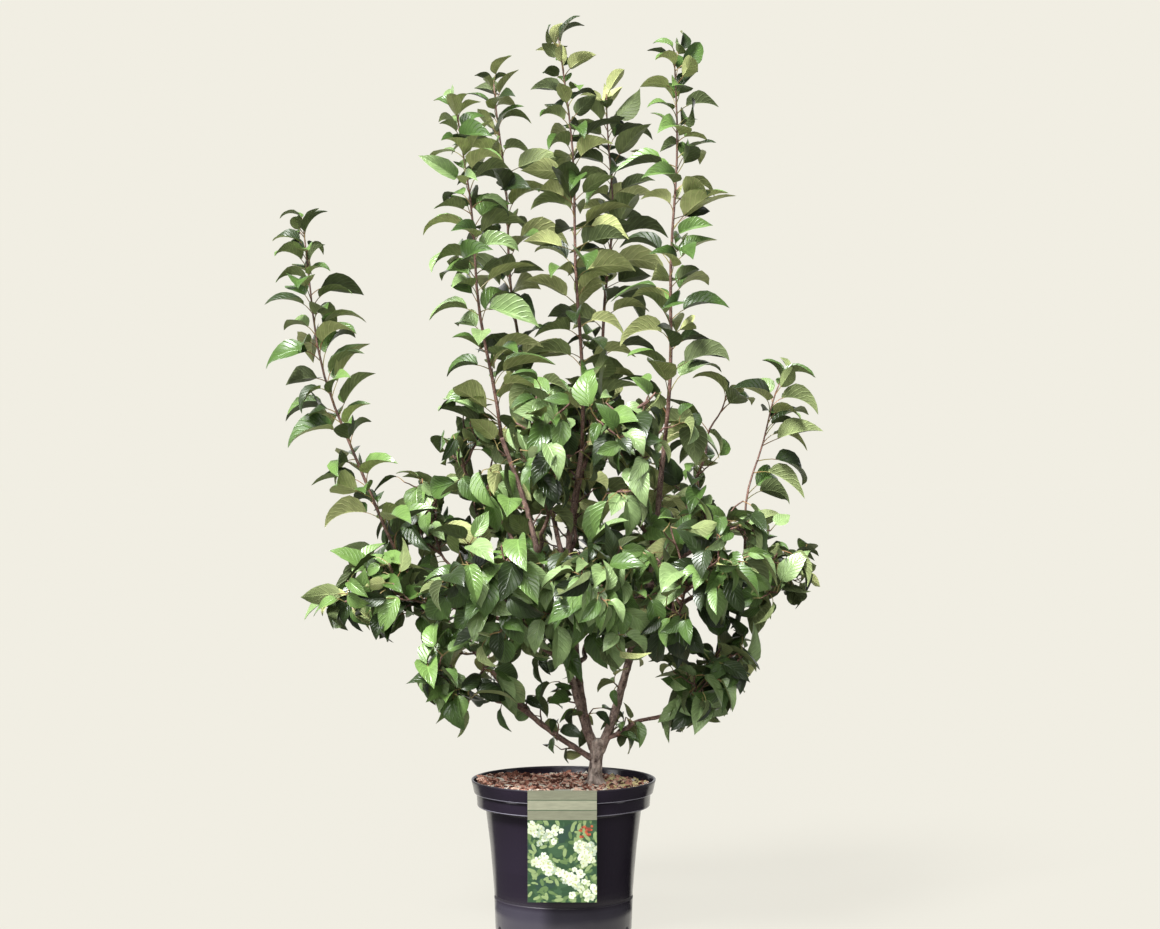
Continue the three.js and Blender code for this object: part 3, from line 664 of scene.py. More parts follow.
CHIP_TONES = (
    (0.11, 0.04, 0.027), (0.36, 0.15, 0.10), (0.74, 0.37, 0.27), (0.98, 0.68, 0.52), (1.0, 0.94, 0.80),
    (0.86, 0.74, 0.38),
)
CHIP_SHARES = (0.27, 0.23, 0.22, 0.17, 0.11)

# The last tone is straw: this share of the chips past this X
STRAW_SHARE = 0.35
STRAW_START = 66.0


def soil_height(x, y, humps):
    """Height of the soil: level, rising as the square of the way towards -X, with small humps from three
    crossed sine waves that die out round the trunk's foot."""
    rise = np.clip((-x - SOIL_HEAP_START) / (SOIL_HEAP_END - SOIL_HEAP_START), 0, 1)
    uneven = sum(np.sin(x / size + phase) * np.cos(y / size - phase) for size, phase in humps)
    far = np.clip((np.hypot(x - TRUNK_FOOT[0], y - TRUNK_FOOT[1]) - 15) / 25, 0, 1)
    return SOIL_LEVEL + SOIL_HEAP * rise**2 - SOIL_SUNK + SOIL_HUMP_HEIGHT * uneven * far


def make_soil(settings):
    """The soil's top is a disc in rings, at the soil's height, with a skirt down inside the pot and a flat
    underside."""
    random = np.random.default_rng(71)
    humps = [(size, random.uniform(0, TURN)) for size in (9.0, 17.0, 30.0)]
    rings, segments = 46, 160
    angle = np.linspace(0, TURN, segments, endpoint=False)
    skirt = [SOIL_RADIUS - 2, SOIL_RADIUS - 4]
    radius = np.concatenate([np.linspace(2, SOIL_RADIUS, rings), skirt])[:, None]
    x, y = radius * np.cos(angle), radius * np.sin(angle)
    z = soil_height(x, y, humps)
    z[-2], z[-1] = SOIL_LEVEL - 6, SOIL_LEVEL - 16
    points = np.stack([x, y, z], axis=-1).reshape(-1, 3)
    quads = grid_quads(rings + len(skirt), segments, wrap=True)
    middle, under = np.arange(segments), (rings + 1) * segments + np.arange(segments)[::-1]
    bed = make_piece("soil_bed", points, [quads, [middle.tolist(), under.tolist()]])
    compost = mottled_material(
        "Compost", (0.085, 0.04, 0.028), (0.30, 0.15, 0.10), 190.0, 1.0, roughness=0.95, specular=0.2,
        relief=(0.9, 0.002))
    dress(bed, [compost], "soil", "soil")
    make_chips(settings, humps, random)


def make_chips(settings, humps, random):
    """Bark chips that lie on the soil: each is a flat box, narrowed at its ends, in its own turn and tilt."""
    count = settings.chips
    reach = (SOIL_RADIUS - 4) * np.sqrt(random.uniform(0.0, 1.0, count))
    turn = random.uniform(0, TURN, count)
    x, y = reach * np.cos(turn), reach * np.sin(turn)
    keep = np.hypot(x - TRUNK_FOOT[0], y - TRUNK_FOOT[1]) > 17
    x, y, count = x[keep], y[keep], int(keep.sum())
    length = settings.chip_length / MM * random.lognormal(0, 0.38, count)
    length = np.minimum(length, 2.2 * (SOIL_RADIUS - np.hypot(x, y)) + 5)
    width = length * random.uniform(0.28, 0.7, count)
    thick = width * random.uniform(0.18, 0.4, count)
    outline = ((-1, -0.5), (-0.2, -1), (1, -0.6), (0.8, 0.7), (-0.3, 1))
    sides = len(outline)
    corners = np.array([(a, b, c) for c in (-1, 1) for a, b in outline])
    shape = corners[None] + random.uniform(-0.22, 0.22, (count, 2 * sides, 3))
    local = shape * np.stack([length, width, thick], axis=-1)[:, None] / 2
    heading = random.uniform(0, TURN, count)
    pitch, roll = random.normal(0, 0.35, count), random.normal(0, 0.5, count)
    ahead = np.stack([np.cos(heading), np.sin(heading), np.zeros(count)], axis=-1)
    level = np.stack([-np.sin(heading), np.cos(heading), np.zeros(count)], axis=-1)
    along = ahead * np.cos(pitch)[:, None] + UP * np.sin(pitch)[:, None]
    across = unit(level * np.cos(roll)[:, None] + np.cross(along, level) * np.sin(roll)[:, None])
    centre = np.stack([x, y, soil_height(x, y, humps) + 0.35 * thick + 1.0], axis=-1)
    up = np.cross(along, across)
    chips = (centre[:, None] + local[..., :1] * along[:, None] + local[..., 1:2] * across[:, None]
             + local[..., 2:] * up[:, None])
    ring = np.arange(sides)
    walls = np.stack([ring, (ring + 1) % sides, (ring + 1) % sides + sides, ring + sides], axis=-1)
    ends = np.stack([ring[::-1], ring + sides])
    tones = random.choice(len(CHIP_SHARES), count, p=CHIP_SHARES)
    straw = (x > STRAW_START) & (random.uniform(0, 1, count) < STRAW_SHARE)
    tones = np.where(straw, len(CHIP_TONES) - 1, tones)
    faces = [repeat_faces(group, count, 2 * sides) for group in (walls, ends)]
    piece = make_piece(
        "soil_chips", chips.reshape(-1, 3), faces,
        slots=np.concatenate([np.repeat(tones, sides), np.repeat(tones, len(ends))]), smooth=False)
    materials = [
        mottled_material(
            f"Bark chip {k + 1}", color, tinted(color, 0.45), 420.0, 0.8, roughness=0.85, specular=0.25,
            relief=(0.6, 0.0006))
        for k, color in enumerate(CHIP_TONES)]
    dress(piece, materials, "soil", "soil")


# Label card

# Heights down the card: its plain band in planks, and the edge that the print leaves free
BAND_HEIGHT = 44.0
PLANKS = 3
PRINT_INSET = 0.1
INNER = LABEL_WIDTH / 2 - PRINT_INSET

# Where the flower heads and the berries sit on the card, across and up from its top
FLOWER_HEADS = np.array((
    (-32, -58), (-14, -64), (28, -84), (40, -96), (-30, -104), (-16, -112), (10, -126), (24, -140),
    (38, -150),
))
PETALS = 5
BERRIES = 22
BERRY_PLACE = np.array((34.0, -60.0))

PRINT_COLORS = (
    ("Print plank", (0.19, 0.195, 0.13)), ("Print plank light", (0.27, 0.275, 0.19)),
    ("Print shade", (0.018, 0.05, 0.03)), ("Print leaf deep", (0.035, 0.085, 0.035)),
    ("Print leaf", (0.10, 0.17, 0.055)), ("Print leaf light", (0.22, 0.30, 0.12)),
    ("Print petal", (0.62, 0.68, 0.53)), ("Print petal cream", (0.50, 0.55, 0.38)),
    ("Print petal shade", (0.36, 0.43, 0.32)), ("Print middle", (0.42, 0.44, 0.16)),
    ("Print berry", (0.42, 0.09, 0.035)), ("Print berry deep", (0.22, 0.04, 0.02)),
)


def on_label(points):
    """Moves points from the card's own frame (across, out from its back, up from its top) to the pot, where
    the card leans in at its foot."""
    points = np.asarray(points, float)
    x, y, z = points[..., 0], points[..., 1], points[..., 2]
    return np.stack([
        x + LABEL_CENTRE,
        y * math.cos(LABEL_LEAN) - z * math.sin(LABEL_LEAN) + LABEL_BACK,
        y * math.sin(LABEL_LEAN) + z * math.cos(LABEL_LEAN) + LABEL_TOP,
    ], axis=-1)


def box_points(low, high):
    """The corners of a box, those of its foot first."""
    return np.array([(x, y, z) for z in (low[2], high[2]) for x, y in (
        (low[0], low[1]), (high[0], low[1]), (high[0], high[1]), (low[0], high[1]))], float)


BOX_QUADS = np.array([(0, 3, 2, 1), (4, 5, 6, 7), (0, 1, 5, 4), (1, 2, 6, 5), (2, 3, 7, 6), (3, 0, 4, 7)])


def flat_fans(centres, reach, outline, depth):
    """Flat printed shapes that face -Y: each is a closed ring of points round a middle one. The ring's
    distance from the middle is outline(angle) times the shape's reach. depth lifts it off the card."""
    steps = outline.shape[-1]
    angle = np.linspace(0, TURN, steps, endpoint=False)
    level = -LABEL_THICKNESS - depth
    ring = np.stack([
        centres[:, None, 0] + reach[:, None] * outline * np.cos(angle),
        np.full(outline.shape, level),
        centres[:, None, 1] + reach[:, None] * outline * np.sin(angle),
    ], axis=-1)
    middle = np.stack([centres[:, 0], np.full(len(centres), level - 0.05), centres[:, 1]], axis=-1)
    points = np.concatenate([ring, middle[:, None]], axis=1)
    k = np.arange(steps)
    fan = np.stack([k, (k + 1) % steps, np.full(steps, steps)], axis=-1)
    return points.reshape(-1, 3), repeat_faces(fan, len(centres), steps + 1)


def make_label(settings):
    """The card and its hook over the rim, and on it the print."""
    half, side = LABEL_WIDTH / 2, HOOK_WIDTH / 2
    boxes = [
        box_points((-half, -LABEL_THICKNESS, -LABEL_HEIGHT), (half, 0, 0)),
        box_points((-side, -LABEL_THICKNESS * 0.9, -LABEL_THICKNESS), (side, HOOK_REACH, 0)),
        box_points((-side, HOOK_REACH - LABEL_THICKNESS, -HOOK_DROP), (side, HOOK_REACH, -0.1)),
    ]
    faces = repeat_faces(BOX_QUADS, len(boxes), 8)
    card = make_piece("label_sheet", on_label(np.concatenate(boxes)), [faces], smooth=False)
    bevel = card.modifiers.new("Edges", "BEVEL")
    bevel.width = 0.3 * MM
    bevel.segments = 2
    dress(card, [card_material("Card", (0.17, 0.175, 0.13))], "label_card", "label_card")
    make_print(settings)


def make_print(settings):
    """A generic printed design: a plain pale band over a dark ground with oval leaves, round five-petalled
    flowers and small red berries, in flat shapes that lie on each other."""
    random = np.random.default_rng(12)
    front = -LABEL_THICKNESS
    panels = [box_points((-INNER, front - 0.1, -LABEL_HEIGHT + PRINT_INSET), (INNER, front, -PRINT_INSET))]
    for k in range(PLANKS):
        top = -PRINT_INSET - k * BAND_HEIGHT / PLANKS
        low = top - BAND_HEIGHT / PLANKS + 1.0
        panels.append(box_points((-INNER, front - 0.12, low), (INNER, front, top)))
    points, triangles = [np.concatenate(panels)], []
    slots = [np.repeat([0] + [1 + k % 2 for k in range(PLANKS)], len(BOX_QUADS))]

    def scatter(count, edge):
        return np.stack([
            random.uniform(-INNER + edge, INNER - edge, count),
            random.uniform(-LABEL_HEIGHT + edge, -BAND_HEIGHT - edge, count)], axis=-1)

    def ovals(count, narrowness):
        turned = np.linspace(0, TURN, 20, endpoint=False) - random.uniform(0, TURN, count)[:, None]
        return narrowness / np.hypot(narrowness * np.cos(turned), np.sin(turned))

    def lay(centres, reach, outline, depth, slot):
        shape_points, shape_faces = flat_fans(centres, reach, outline, depth)
        triangles.append(shape_faces + sum(map(len, points)))
        shape_points[:, 0] = np.clip(shape_points[:, 0], -INNER, INNER)
        shape_points[:, 2] = np.clip(shape_points[:, 2], -LABEL_HEIGHT + PRINT_INSET, -BAND_HEIGHT)
        points.append(shape_points)
        slots.append(np.repeat(np.broadcast_to(slot, len(centres)), outline.shape[-1]))

    lay(scatter(16, 4), random.uniform(10, 14, 16), ovals(16, 0.7), 0.14, random.choice((3, 4), 16))
    for depth, slot in ((0.18, 4), (0.22, 5), (0.26, 6)):
        lay(scatter(100, 0), random.uniform(3.2, 7, 100), ovals(100, 0.42), depth, slot)
    flowers = settings.flowers
    heads = FLOWER_HEADS[random.integers(0, len(FLOWER_HEADS), flowers)]
    middles = heads + random.normal(0, 1, (flowers, 2)) * (8, 6)
    middles = np.clip(middles, (-INNER + 1, -LABEL_HEIGHT + 2), (INNER - 1, -BAND_HEIGHT - 3))
    size = random.uniform(2.9, 5.0, flowers)
    tone = random.choice((7, 8, 9), flowers, p=(0.5, 0.3, 0.2))
    for petal in range(PETALS):
        turn = random.uniform(-0.25, 0.25, flowers) + petal * TURN / PETALS + np.arange(flowers)
        offset = np.stack([np.cos(turn), np.sin(turn)], axis=-1) * random.uniform(0.55, 0.95, (flowers, 2))
        lay(middles + offset * size[:, None], size * random.uniform(0.5, 0.8, flowers), ovals(flowers, 0.75),
            0.3 + 0.03 * petal, tone)
    lay(middles, size * 0.25, ovals(flowers, 1.0), 0.48, 10)
    cluster = BERRY_PLACE + random.uniform(-1, 1, (BERRIES, 2)) * (10, 8)
    sizes, outlines = random.uniform(1.5, 2.3, BERRIES), ovals(BERRIES, 0.9)
    lay(cluster, sizes, outlines, 0.52, random.choice((11, 12), BERRIES))
    piece = make_piece(
        "label_print", on_label(np.concatenate(points)),
        [repeat_faces(BOX_QUADS, len(panels), 8), np.concatenate(triangles)],
        slots=np.concatenate(slots), smooth=False)
    colors = (("Print ground", tuple(settings.ground)), *PRINT_COLORS)
    dress(piece, [card_material(name, color) for name, color in colors], "label_card", "label_card")


def card_material(name, color):
    """Printed card, streaked a little across its width."""
    return mottled_material(name, color, tinted(color, 0.6), 260.0, 0.55, stretch=(0.25, 1.0, 1.6))


# Bark

# The trunk's low dome in the fork: how far each ring rises, and its share of the trunk's width
TRUNK_DOME = ((1.6, 0.9), (3.0, 0.72), (4.0, 0.45))

BOUGH_STEP = 3.2
BOUGH_SIDES = 16


def bark_material(name, settings, roughness):
    """Bark in the limb's own map, in metres around and along: old and young colour mixed by the limb's age,
    which on the boughs also carries painted shade, broad dark patches, fine mottle, and short pale pores that
    lie across the limb."""
    material, tree, shader = new_material(name, roughness=roughness, specular=0.35)
    surface = place_on_surface(tree)
    age = add_node(tree, "ShaderNodeAttribute", attribute_name="age").outputs["Fac"]
    patches = place_group(
        tree, mottle_group(), Vector=stretched(tree, surface, (75.0, 38.0, 1.0), (3.0, 1.0, 0.0)),
        Color=mix_colors(tree, age, settings.young_color, settings.old_color), Second=(0.09, 0.045, 0.04),
        Scale=1.0, Amount=0.62)
    mottle = place_group(
        tree, mottle_group(), Vector=stretched(tree, surface, (190.0, 90.0, 1.0)), Color=patches["Color"],
        Second=(0.05, 0.026, 0.022), Scale=1.0, Amount=0.95)
    spots = soft_noise(tree, stretched(tree, surface, (190.0, 560.0, 1.0)), 1.1, 1.0)
    pores = map_range(tree, spots, 0.62, 0.7)
    height = work_out(tree, "MULTIPLY_ADD", mottle["Mask"], 0.5, pores)
    set_inputs(tree, shader, {
        "Base Color": mix_colors(tree, pores, mottle["Color"], (0.42, 0.33, 0.26)),
        "Normal": raised(tree, height, 0.8, 0.0011),
    })
    return material


def make_trunk(settings):
    """The trunk: rings from foot to fork, whose radius is the trunk's plus a flare that dies out upwards
    with three lobes, plus a swelling at the fork, plus broad and fine relief; closed by a low dome."""
    random = np.random.default_rng(5)
    rings, sides = 72, 72
    t = np.linspace(0, 1, rings)[:, None]
    angle = np.linspace(0, TURN, sides, endpoint=False)[None]
    rise = float(TRUNK_TOP[2] - TRUNK_FOOT[2])
    height = t * rise
    flare = np.exp(-height / TRUNK_FLARE_HEIGHT)
    swell = np.exp(-(((rise - height) / TRUNK_SWELLING_HEIGHT) ** 2))
    radius = TRUNK_RADIUS + TRUNK_FLARE * flare + TRUNK_SWELLING * swell
    radius = radius * (1 + TRUNK_LOBE_DEPTH * flare * np.cos(TRUNK_LOBES * angle))
    radius = radius + 0.4 * waves(random, 14, angle, height, turns=6, pitch=0.35)
    radius = radius + 0.2 * waves(random, 14, angle, height, turns=12, pitch=0.12)
    centre = (TRUNK_FOOT + t * (TRUNK_TOP - TRUNK_FOOT))[:, None]
    x, y = centre[..., 0] + radius * np.cos(angle), centre[..., 1] + radius * np.sin(angle)
    wall = np.stack(np.broadcast_arrays(x, y, centre[..., 2]), axis=-1)
    dome = []
    for lift, share in TRUNK_DOME:
        ring = TRUNK_TOP + (wall[-1] - TRUNK_TOP) * share
        ring[:, 2] = TRUNK_TOP[2] + lift
        dome.append(ring)
    points = np.concatenate([wall, dome])
    uv = np.stack(np.broadcast_arrays(angle * TRUNK_RADIUS * MM, height * MM), axis=-1)
    uv = np.concatenate([uv, np.repeat(uv[-1:], len(dome), axis=0)])
    rows = len(points)
    ends = [np.arange(sides)[::-1].tolist(), ((rows - 1) * sides + np.arange(sides)).tolist()]
    piece = make_piece(
        "trunk_bark", points.reshape(-1, 3), [grid_quads(rows, sides, wrap=True), ends], uv=uv.reshape(-1, 2),
        attributes={"age": np.ones(rows * sides)})
    dress(piece, [bark_material("Trunk bark", settings, 0.82)], "bark", "trunk")


def bough_tube(limb, joints, random):
    """A bough's points, map and radii: a fine tube with a collar at its foot, a knuckle where another bough
    leaves it, scars round it at even steps, and smooth relief."""
    rings = max(12, round(limb.length / BOUGH_STEP))
    scar = random.uniform(24, 34)

    def swell(angle, distance, radius):
        collar = 0.5 * limb.radii[0] * np.exp(-distance / 10.0)
        knuckle = sum(0.26 * radius * np.exp(-(((distance - joint) / 9.0) ** 2)) for joint in joints)
        from_scar = (distance + 0.25 * scar * np.cos(angle)) % scar - scar / 2
        ring = 0.09 * radius * np.exp(-((from_scar / 2.2) ** 2))
        relief = 0.07 * radius * waves(random, 12, angle, distance, turns=4, pitch=0.3)
        return collar + knuckle + ring + relief

    return tube_points(limb, rings, BOUGH_SIDES, swell)


def make_boughs(settings):
    """All boughs in one mesh. The age at a point is its radius as a share of the thickest bough's, to a
    power, and each bough has its own stretch of the bark's map. The darker, younger bark that this gives the
    boughs is partly their real age and partly painted shade from the crown above."""
    random = np.random.default_rng(8)
    boughs, _ = build_skeleton()
    points, uvs, ages_and_shade, quads, caps, base = [], [], [], [], [], 0
    for limb in boughs.values():
        joints = [other.foot * limb.length for other in boughs.values() if other.carrier is limb]
        tube, uv, radius = bough_tube(limb, joints, random)
        tube_quads, tube_caps = tube_faces(len(tube), BOUGH_SIDES)
        points.append(tube.reshape(-1, 3))
        uvs.append(uv.reshape(-1, 2) + (0, 0.37 * len(points)))
        # Partly painted shade: the thinner boughs' darker, younger bark also stands for the crown's shade on
        # them
        ages_and_shade.append(np.clip(radius / 10.0, 0, 1).ravel() ** 1.6)
        quads.append(tube_quads + base)
        caps.append(tube_caps + base)
        base += len(points[-1])
    piece = make_piece(
        "bough_bark", np.concatenate(points), [np.concatenate(quads), np.concatenate(caps)],
        uv=np.concatenate(uvs), attributes={"age": np.concatenate(ages_and_shade)})
    nodes = [f"bough_{name}" for name in boughs]
    dress(piece, [bark_material("Bough bark", settings, 0.72)], "bark", *nodes)


# Twigs and leaves

# A leaf's middle line runs in even steps. At these steps lie the stalk's rings, the blade's rows and the
# points that are tested for room, and the blade's columns lie at these shares of its half width.
LEAF_STEPS = 20
STALK_RINGS = np.array((0, 2, 4, 6))
BLADE_STATIONS = np.array((5, 6, 7, 9, 11, 13, 15, 17, 18, 19, 20))
BLADE_COLUMNS = np.array((-1.0, -0.45, 0.0, 0.45, 1.0))
TEST_STATIONS = np.array((8, 11, 14, 17, 20))

# How many of a leaf's test points, from its foot, keep inside the crown's outline: its tip may pass it
FRINGE = 3

# The two kinds of leaves. width is a share of the length. first, spacing, stray and crowding say where leaves
# leave their twig: the first one's place, how far apart they are, how unevenly, and how much closer near
# the tip. forward, rise and droop turn a leaf along its twig, up and down, and roll turns its face. bend,
# hang and fold are spans of angles, sizes is a span of shares of the length, and gap is the room between
# leaves.
CROWN_LEAF = {
    "width": 0.45, "sizes": (0.55, 1.14), "gap": 9.8,
    "first": 0.06, "spacing": 12.0, "stray": 0.3, "crowding": 1.0,
    "forward": 0.5, "rise": 0.1, "droop": 1.1, "roll": 2.2,
    "bend": (0.3, 1.4), "hang": (0.15, 1.2), "fold": (0.15, 0.95),
}
SHOOT_LEAF = {
    "width": 0.45, "sizes": (0.62, 1.18), "gap": 6.5,
    "first": 0.02, "spacing": 9.2, "stray": 0.9, "crowding": 1.12,
    "forward": 0.2, "rise": 0.14, "droop": 0.15, "roll": 1.3,
    "bend": (0.6, 2.0), "hang": (-0.2, 0.5), "fold": (0.3, 1.05),
}
LEAF_CURL = (0.1, 0.7)
LEAF_RISE = (-0.35, 0.35)

# The size of the leaf at a shoot's tip, as a share, and the length under which leaves may pass the outline
YOUNG_LEAF = 0.5
SMALL_LEAF = 58.0

# The crown's outline as the camera sees it, in X and Z on the plane through the pot's middle
OUTLINE = np.array((
    (-320, 702), (-291, 708), (-270, 735), (-240, 728), (-230, 700), (-188, 710), (-195, 770),
    (-212, 800), (-200, 880), (-150, 880), (205, 880), (250, 848), (272, 802), (262, 742), (226, 718),
    (240, 680), (298, 650), (320, 696), (358, 718), (376, 696), (428, 672), (428, 650), (368, 627),
    (368, 597), (382, 559), (386, 504), (362, 496), (318, 486), (296, 445), (286, 400), (262, 358),
    (240, 332), (202, 308), (190, 298), (144, 298), (116, 324), (128, 362), (116, 395), (93, 400),
    (64, 377), (43, 389), (22, 358), (-13, 361), (-43, 346), (-66, 361), (-81, 323), (-104, 282),
    (-127, 282), (-142, 316), (-156, 306), (-178, 326), (-210, 360), (-228, 392), (-252, 428),
    (-274, 446), (-291, 454), (-352, 462), (-355, 480), (-408, 483), (-400, 498), (-355, 532),
    (-355, 559), (-340, 582), (-336, 605), (-382, 612), (-376, 658), (-345, 677),
))

# The camera's place
VIEW_POINT = (24.9, -3396.0, 704.0)

# Ellipses where the sky shows through the crown: middle and half sizes in X and Z
OPENINGS = (
    ((-232, 738), (32, 32)), ((286, 722), (44, 36)), ((388, 466), (36, 46)), ((-128, 706), (12, 24)),
    ((70, 690), (12, 22)), ((196, 560), (12, 18)), ((132, 520), (10, 14)), ((-98, 470), (12, 10)),
    ((222, 440), (14, 12)), ((240, 672), (34, 30)), ((-124, 318), (30, 26)), ((-57, 388), (12, 30)),
    ((-349, 526), (16, 18)), ((140, 352), (22, 24)), ((100, 809), (22, 15)), ((331, 498), (26, 11)),
    ((350, 591), (20, 18)), ((-300, 592), (16, 16)), ((-163, 639), (24, 24)), ((220, 779), (22, 20)),
    ((33, 412), (18, 28)), ((-175, 563), (24, 19)), ((-220, 428), (19, 26)), ((308, 644), (15, 17)),
    ((-253, 658), (25, 19)), ((368, 635), (18, 13)), ((14, 859), (21, 22)), ((251, 769), (21, 19)),
    ((-135, 835), (20, 21)), ((-235, 458), (18, 18)), ((186, 499), (18, 17)), ((263, 637), (24, 15)),
    ((-225, 566), (18, 18)), ((258, 582), (18, 19)), ((-109, 584), (15, 19)), ((-146, 396), (17, 19)),
    ((-162, 486), (21, 14)), ((198, 404), (10, 18)), ((207, 466), (20, 12)), ((-188, 760), (34, 14)),
    ((-186, 690), (36, 12)),
)

# The crown thins out upwards between these heights, to this share of its leaves
THINNING = (560, 720)
THIN_SHARE = 0.9

# The stems that show through the crown's front from this height up, the width to each side that is kept open
# before them, and the share of leaves there that is left out
SHOWN_STEMS = ("right", "left_centre", "centre")
SHOWN_FROM = 570
SHOWN_WIDTH = 13
SHOWN_SHARE = 0.92

# Short spurs on the boughs: the bough, where they start and end along it, their number and their leaves' size
SPURS = (
    ("right", 0.06, 0.2, 2, 0.6), ("left_centre", 0.1, 0.3, 5, 0.7), ("far_left", 0.12, 0.36, 4, 0.7),
    ("centre", 0.08, 0.22, 2, 0.6), ("low_right", 0.1, 0.35, 3, 0.7),
    ("right", 0.22, 0.34, 3, 0.8), ("left_centre", 0.3, 0.44, 3, 0.9), ("low_left", 0.2, 0.9, 4, 0.9),
    ("left_mid", 0.3, 0.95, 4, 0.95), ("front_left", 0.4, 0.95, 3, 0.95), ("front_right", 0.3, 0.9, 3, 0.95),
    ("right", 0.38, 0.99, 11, 1), ("left_centre", 0.5, 0.99, 10, 1), ("centre", 0.4, 0.99, 11, 1),
    ("left_back", 0.15, 0.99, 7, 1), ("right_back", 0.2, 0.99, 6, 1), ("far_left", 0.55, 0.99, 7, 1),
    ("far_right", 0.5, 0.98, 4, 1), ("low_right", 0.4, 0.95, 4, 0.85), ("right_upper", 0.3, 0.99, 4, 1),
)
SPUR_LENGTH = 40.0
SPUR_RADII = (1.5, 0.9)

# The side twigs of a stem, and the finer twigs on each of those
TWIG_SPAN = (0.06, 0.95)
TWIG_LENGTH = 100
TWIG_RADII = (2.4, 1.1)
FINE_COUNT = 2
FINE_SPAN = (0.35, 0.72)
FINE_LENGTH = 46
FINE_RADII = (1.3, 0.8)

# How far a twig spreads from its parent's direction and turns up, and how much of its length it sags and
# sways
TWIG_SPREAD = 1.8
TWIG_LIFT = 0.28
TWIG_SAG = 0.06
TWIG_SWAY = 0.02

# How often a twig or leaf tries for room, and the angle by which it turns on each time
TWIG_TRIES = 6
LEAF_TRIES = 7
TURN_ON = 0.9

# The room that twigs and leaves keep from other limbs, and twigs from their mass's edge and leaves from soil
TWIG_ROOM = 2.0
LEAF_ROOM = 3.0
TWIG_MARGIN = 22
SOIL_ROOM = 24


def leaf_line(along, up, size, bend, hang, curl):
    """The middle lines of leaves, from the stalk's foot to the tip, as points past the foot. Short steps are
    added up, whose slope starts above the heading, drops by hang where the stalk meets the blade, falls by
    bend in all, and falls further near the tip by curl. Also gives the slopes."""
    s = np.linspace(0, 1, LEAF_STEPS + 1)
    joint = 1 / (1 + np.exp(-(s - 0.25) / 0.035))
    slope = bend * (0.52 - s) - hang * joint - curl * np.clip(s - 0.6, 0, 1) ** 2 * 4
    step = size / LEAF_STEPS
    middle = 0.5 * (slope[..., 1:] + slope[..., :-1])
    zero = np.zeros((*slope.shape[:-1], 1))
    reach = np.concatenate([zero, np.cumsum(np.cos(middle) * step, axis=-1)], axis=-1)
    rise = np.concatenate([zero, np.cumsum(np.sin(middle) * step, axis=-1)], axis=-1)
    return reach[..., None] * along[..., None, :] + rise[..., None] * up[..., None, :], slope


def as_seen(points):
    """Where points appear, in X and Z on the plane through the pot's middle, seen from the camera's place."""
    nearer = VIEW_POINT[1] / (VIEW_POINT[1] - points[:, 1])
    return (VIEW_POINT[0] + (points[:, 0] - VIEW_POINT[0]) * nearer,
            VIEW_POINT[2] + (points[:, 2] - VIEW_POINT[2]) * nearer)


def in_opening(points):
    """Whether any of the points lies where the crown is open."""
    x, z = as_seen(points)
    return any(
        (((x - middle_x) / half_x) ** 2 + ((z - middle_z) / half_z) ** 2 < 1).any()
        for (middle_x, middle_z), (half_x, half_z) in OPENINGS)


def in_outline(points):
    """Whether every point lies inside the crown's outline: a line to one side of it crosses the outline an
    odd number of times."""
    x, z = (row[:, None] for row in as_seen(points))
    x1, z1 = OUTLINE.T
    x2, z2 = np.roll(OUTLINE, -1, axis=0).T
    level = z2 - z1 + 1e-9 * (z2 == z1)
    crossed = ((z1 > z) != (z2 > z)) & (x < x1 + (z - z1) * (x2 - x1) / level)
    return bool((crossed.sum(axis=1) % 2 == 1).all())


class Crown:
    """What has grown so far, as loose points with a radius, so that new growth keeps clear of it."""

    def __init__(self, limbs):
        self.limb_points = np.empty((0, 3))
        self.limb_radii = np.empty(0)
        self.leaf_points = np.empty((0, 3))
        t = np.linspace(0, 1, 80)
        shown = np.concatenate([limb.at(t)[0] for limb in limbs if limb.name in SHOWN_STEMS])
        self.shown = shown[shown[:, 2] > SHOWN_FROM]
        for limb in limbs:
            self.add_limb(limb)

    def add_limb(self, limb):
        t = np.linspace(0, 1, max(2, int(limb.length / 6)))
        self.limb_points = np.concatenate([self.limb_points, limb.at(t)[0]])
        self.limb_radii = np.concatenate([self.limb_radii, limb.radius(t)])

    def add_leaf(self, points):
        self.leaf_points = np.concatenate([self.leaf_points, points])

    def clear_of_limbs(self, points, gap):
        apart = np.linalg.norm(points[:, None] - self.limb_points[None], axis=-1)
        return bool((apart > self.limb_radii + gap).all())

    def clear_of_leaves(self, points, gap):
        apart = np.linalg.norm(points[:, None] - self.leaf_points[None], axis=-1)
        return bool((apart > gap).all())

    def hides_stem(self, points):
        """Whether any point lies before one of the stems that show through the crown's front."""
        level = np.abs(points[:, None, 2] - self.shown[None, :, 2]) < 8
        beside = np.abs(points[:, None, 0] - self.shown[None, :, 0]) < SHOWN_WIDTH
        before = points[:, None, 1] < self.shown[None, :, 1] - 6
        return bool((level & beside & before).any())


def above_pot(points):
    """Whether every point is well above the soil."""
    return bool((points[:, 2] > SOIL_LEVEL + SOIL_ROOM).all())


def inside(points, course, reach):
    """Whether every point keeps within reach of a stem's course."""
    apart = np.linalg.norm(points[:, None] - course[None], axis=-1).min(axis=1)
    return bool((apart < reach).all())


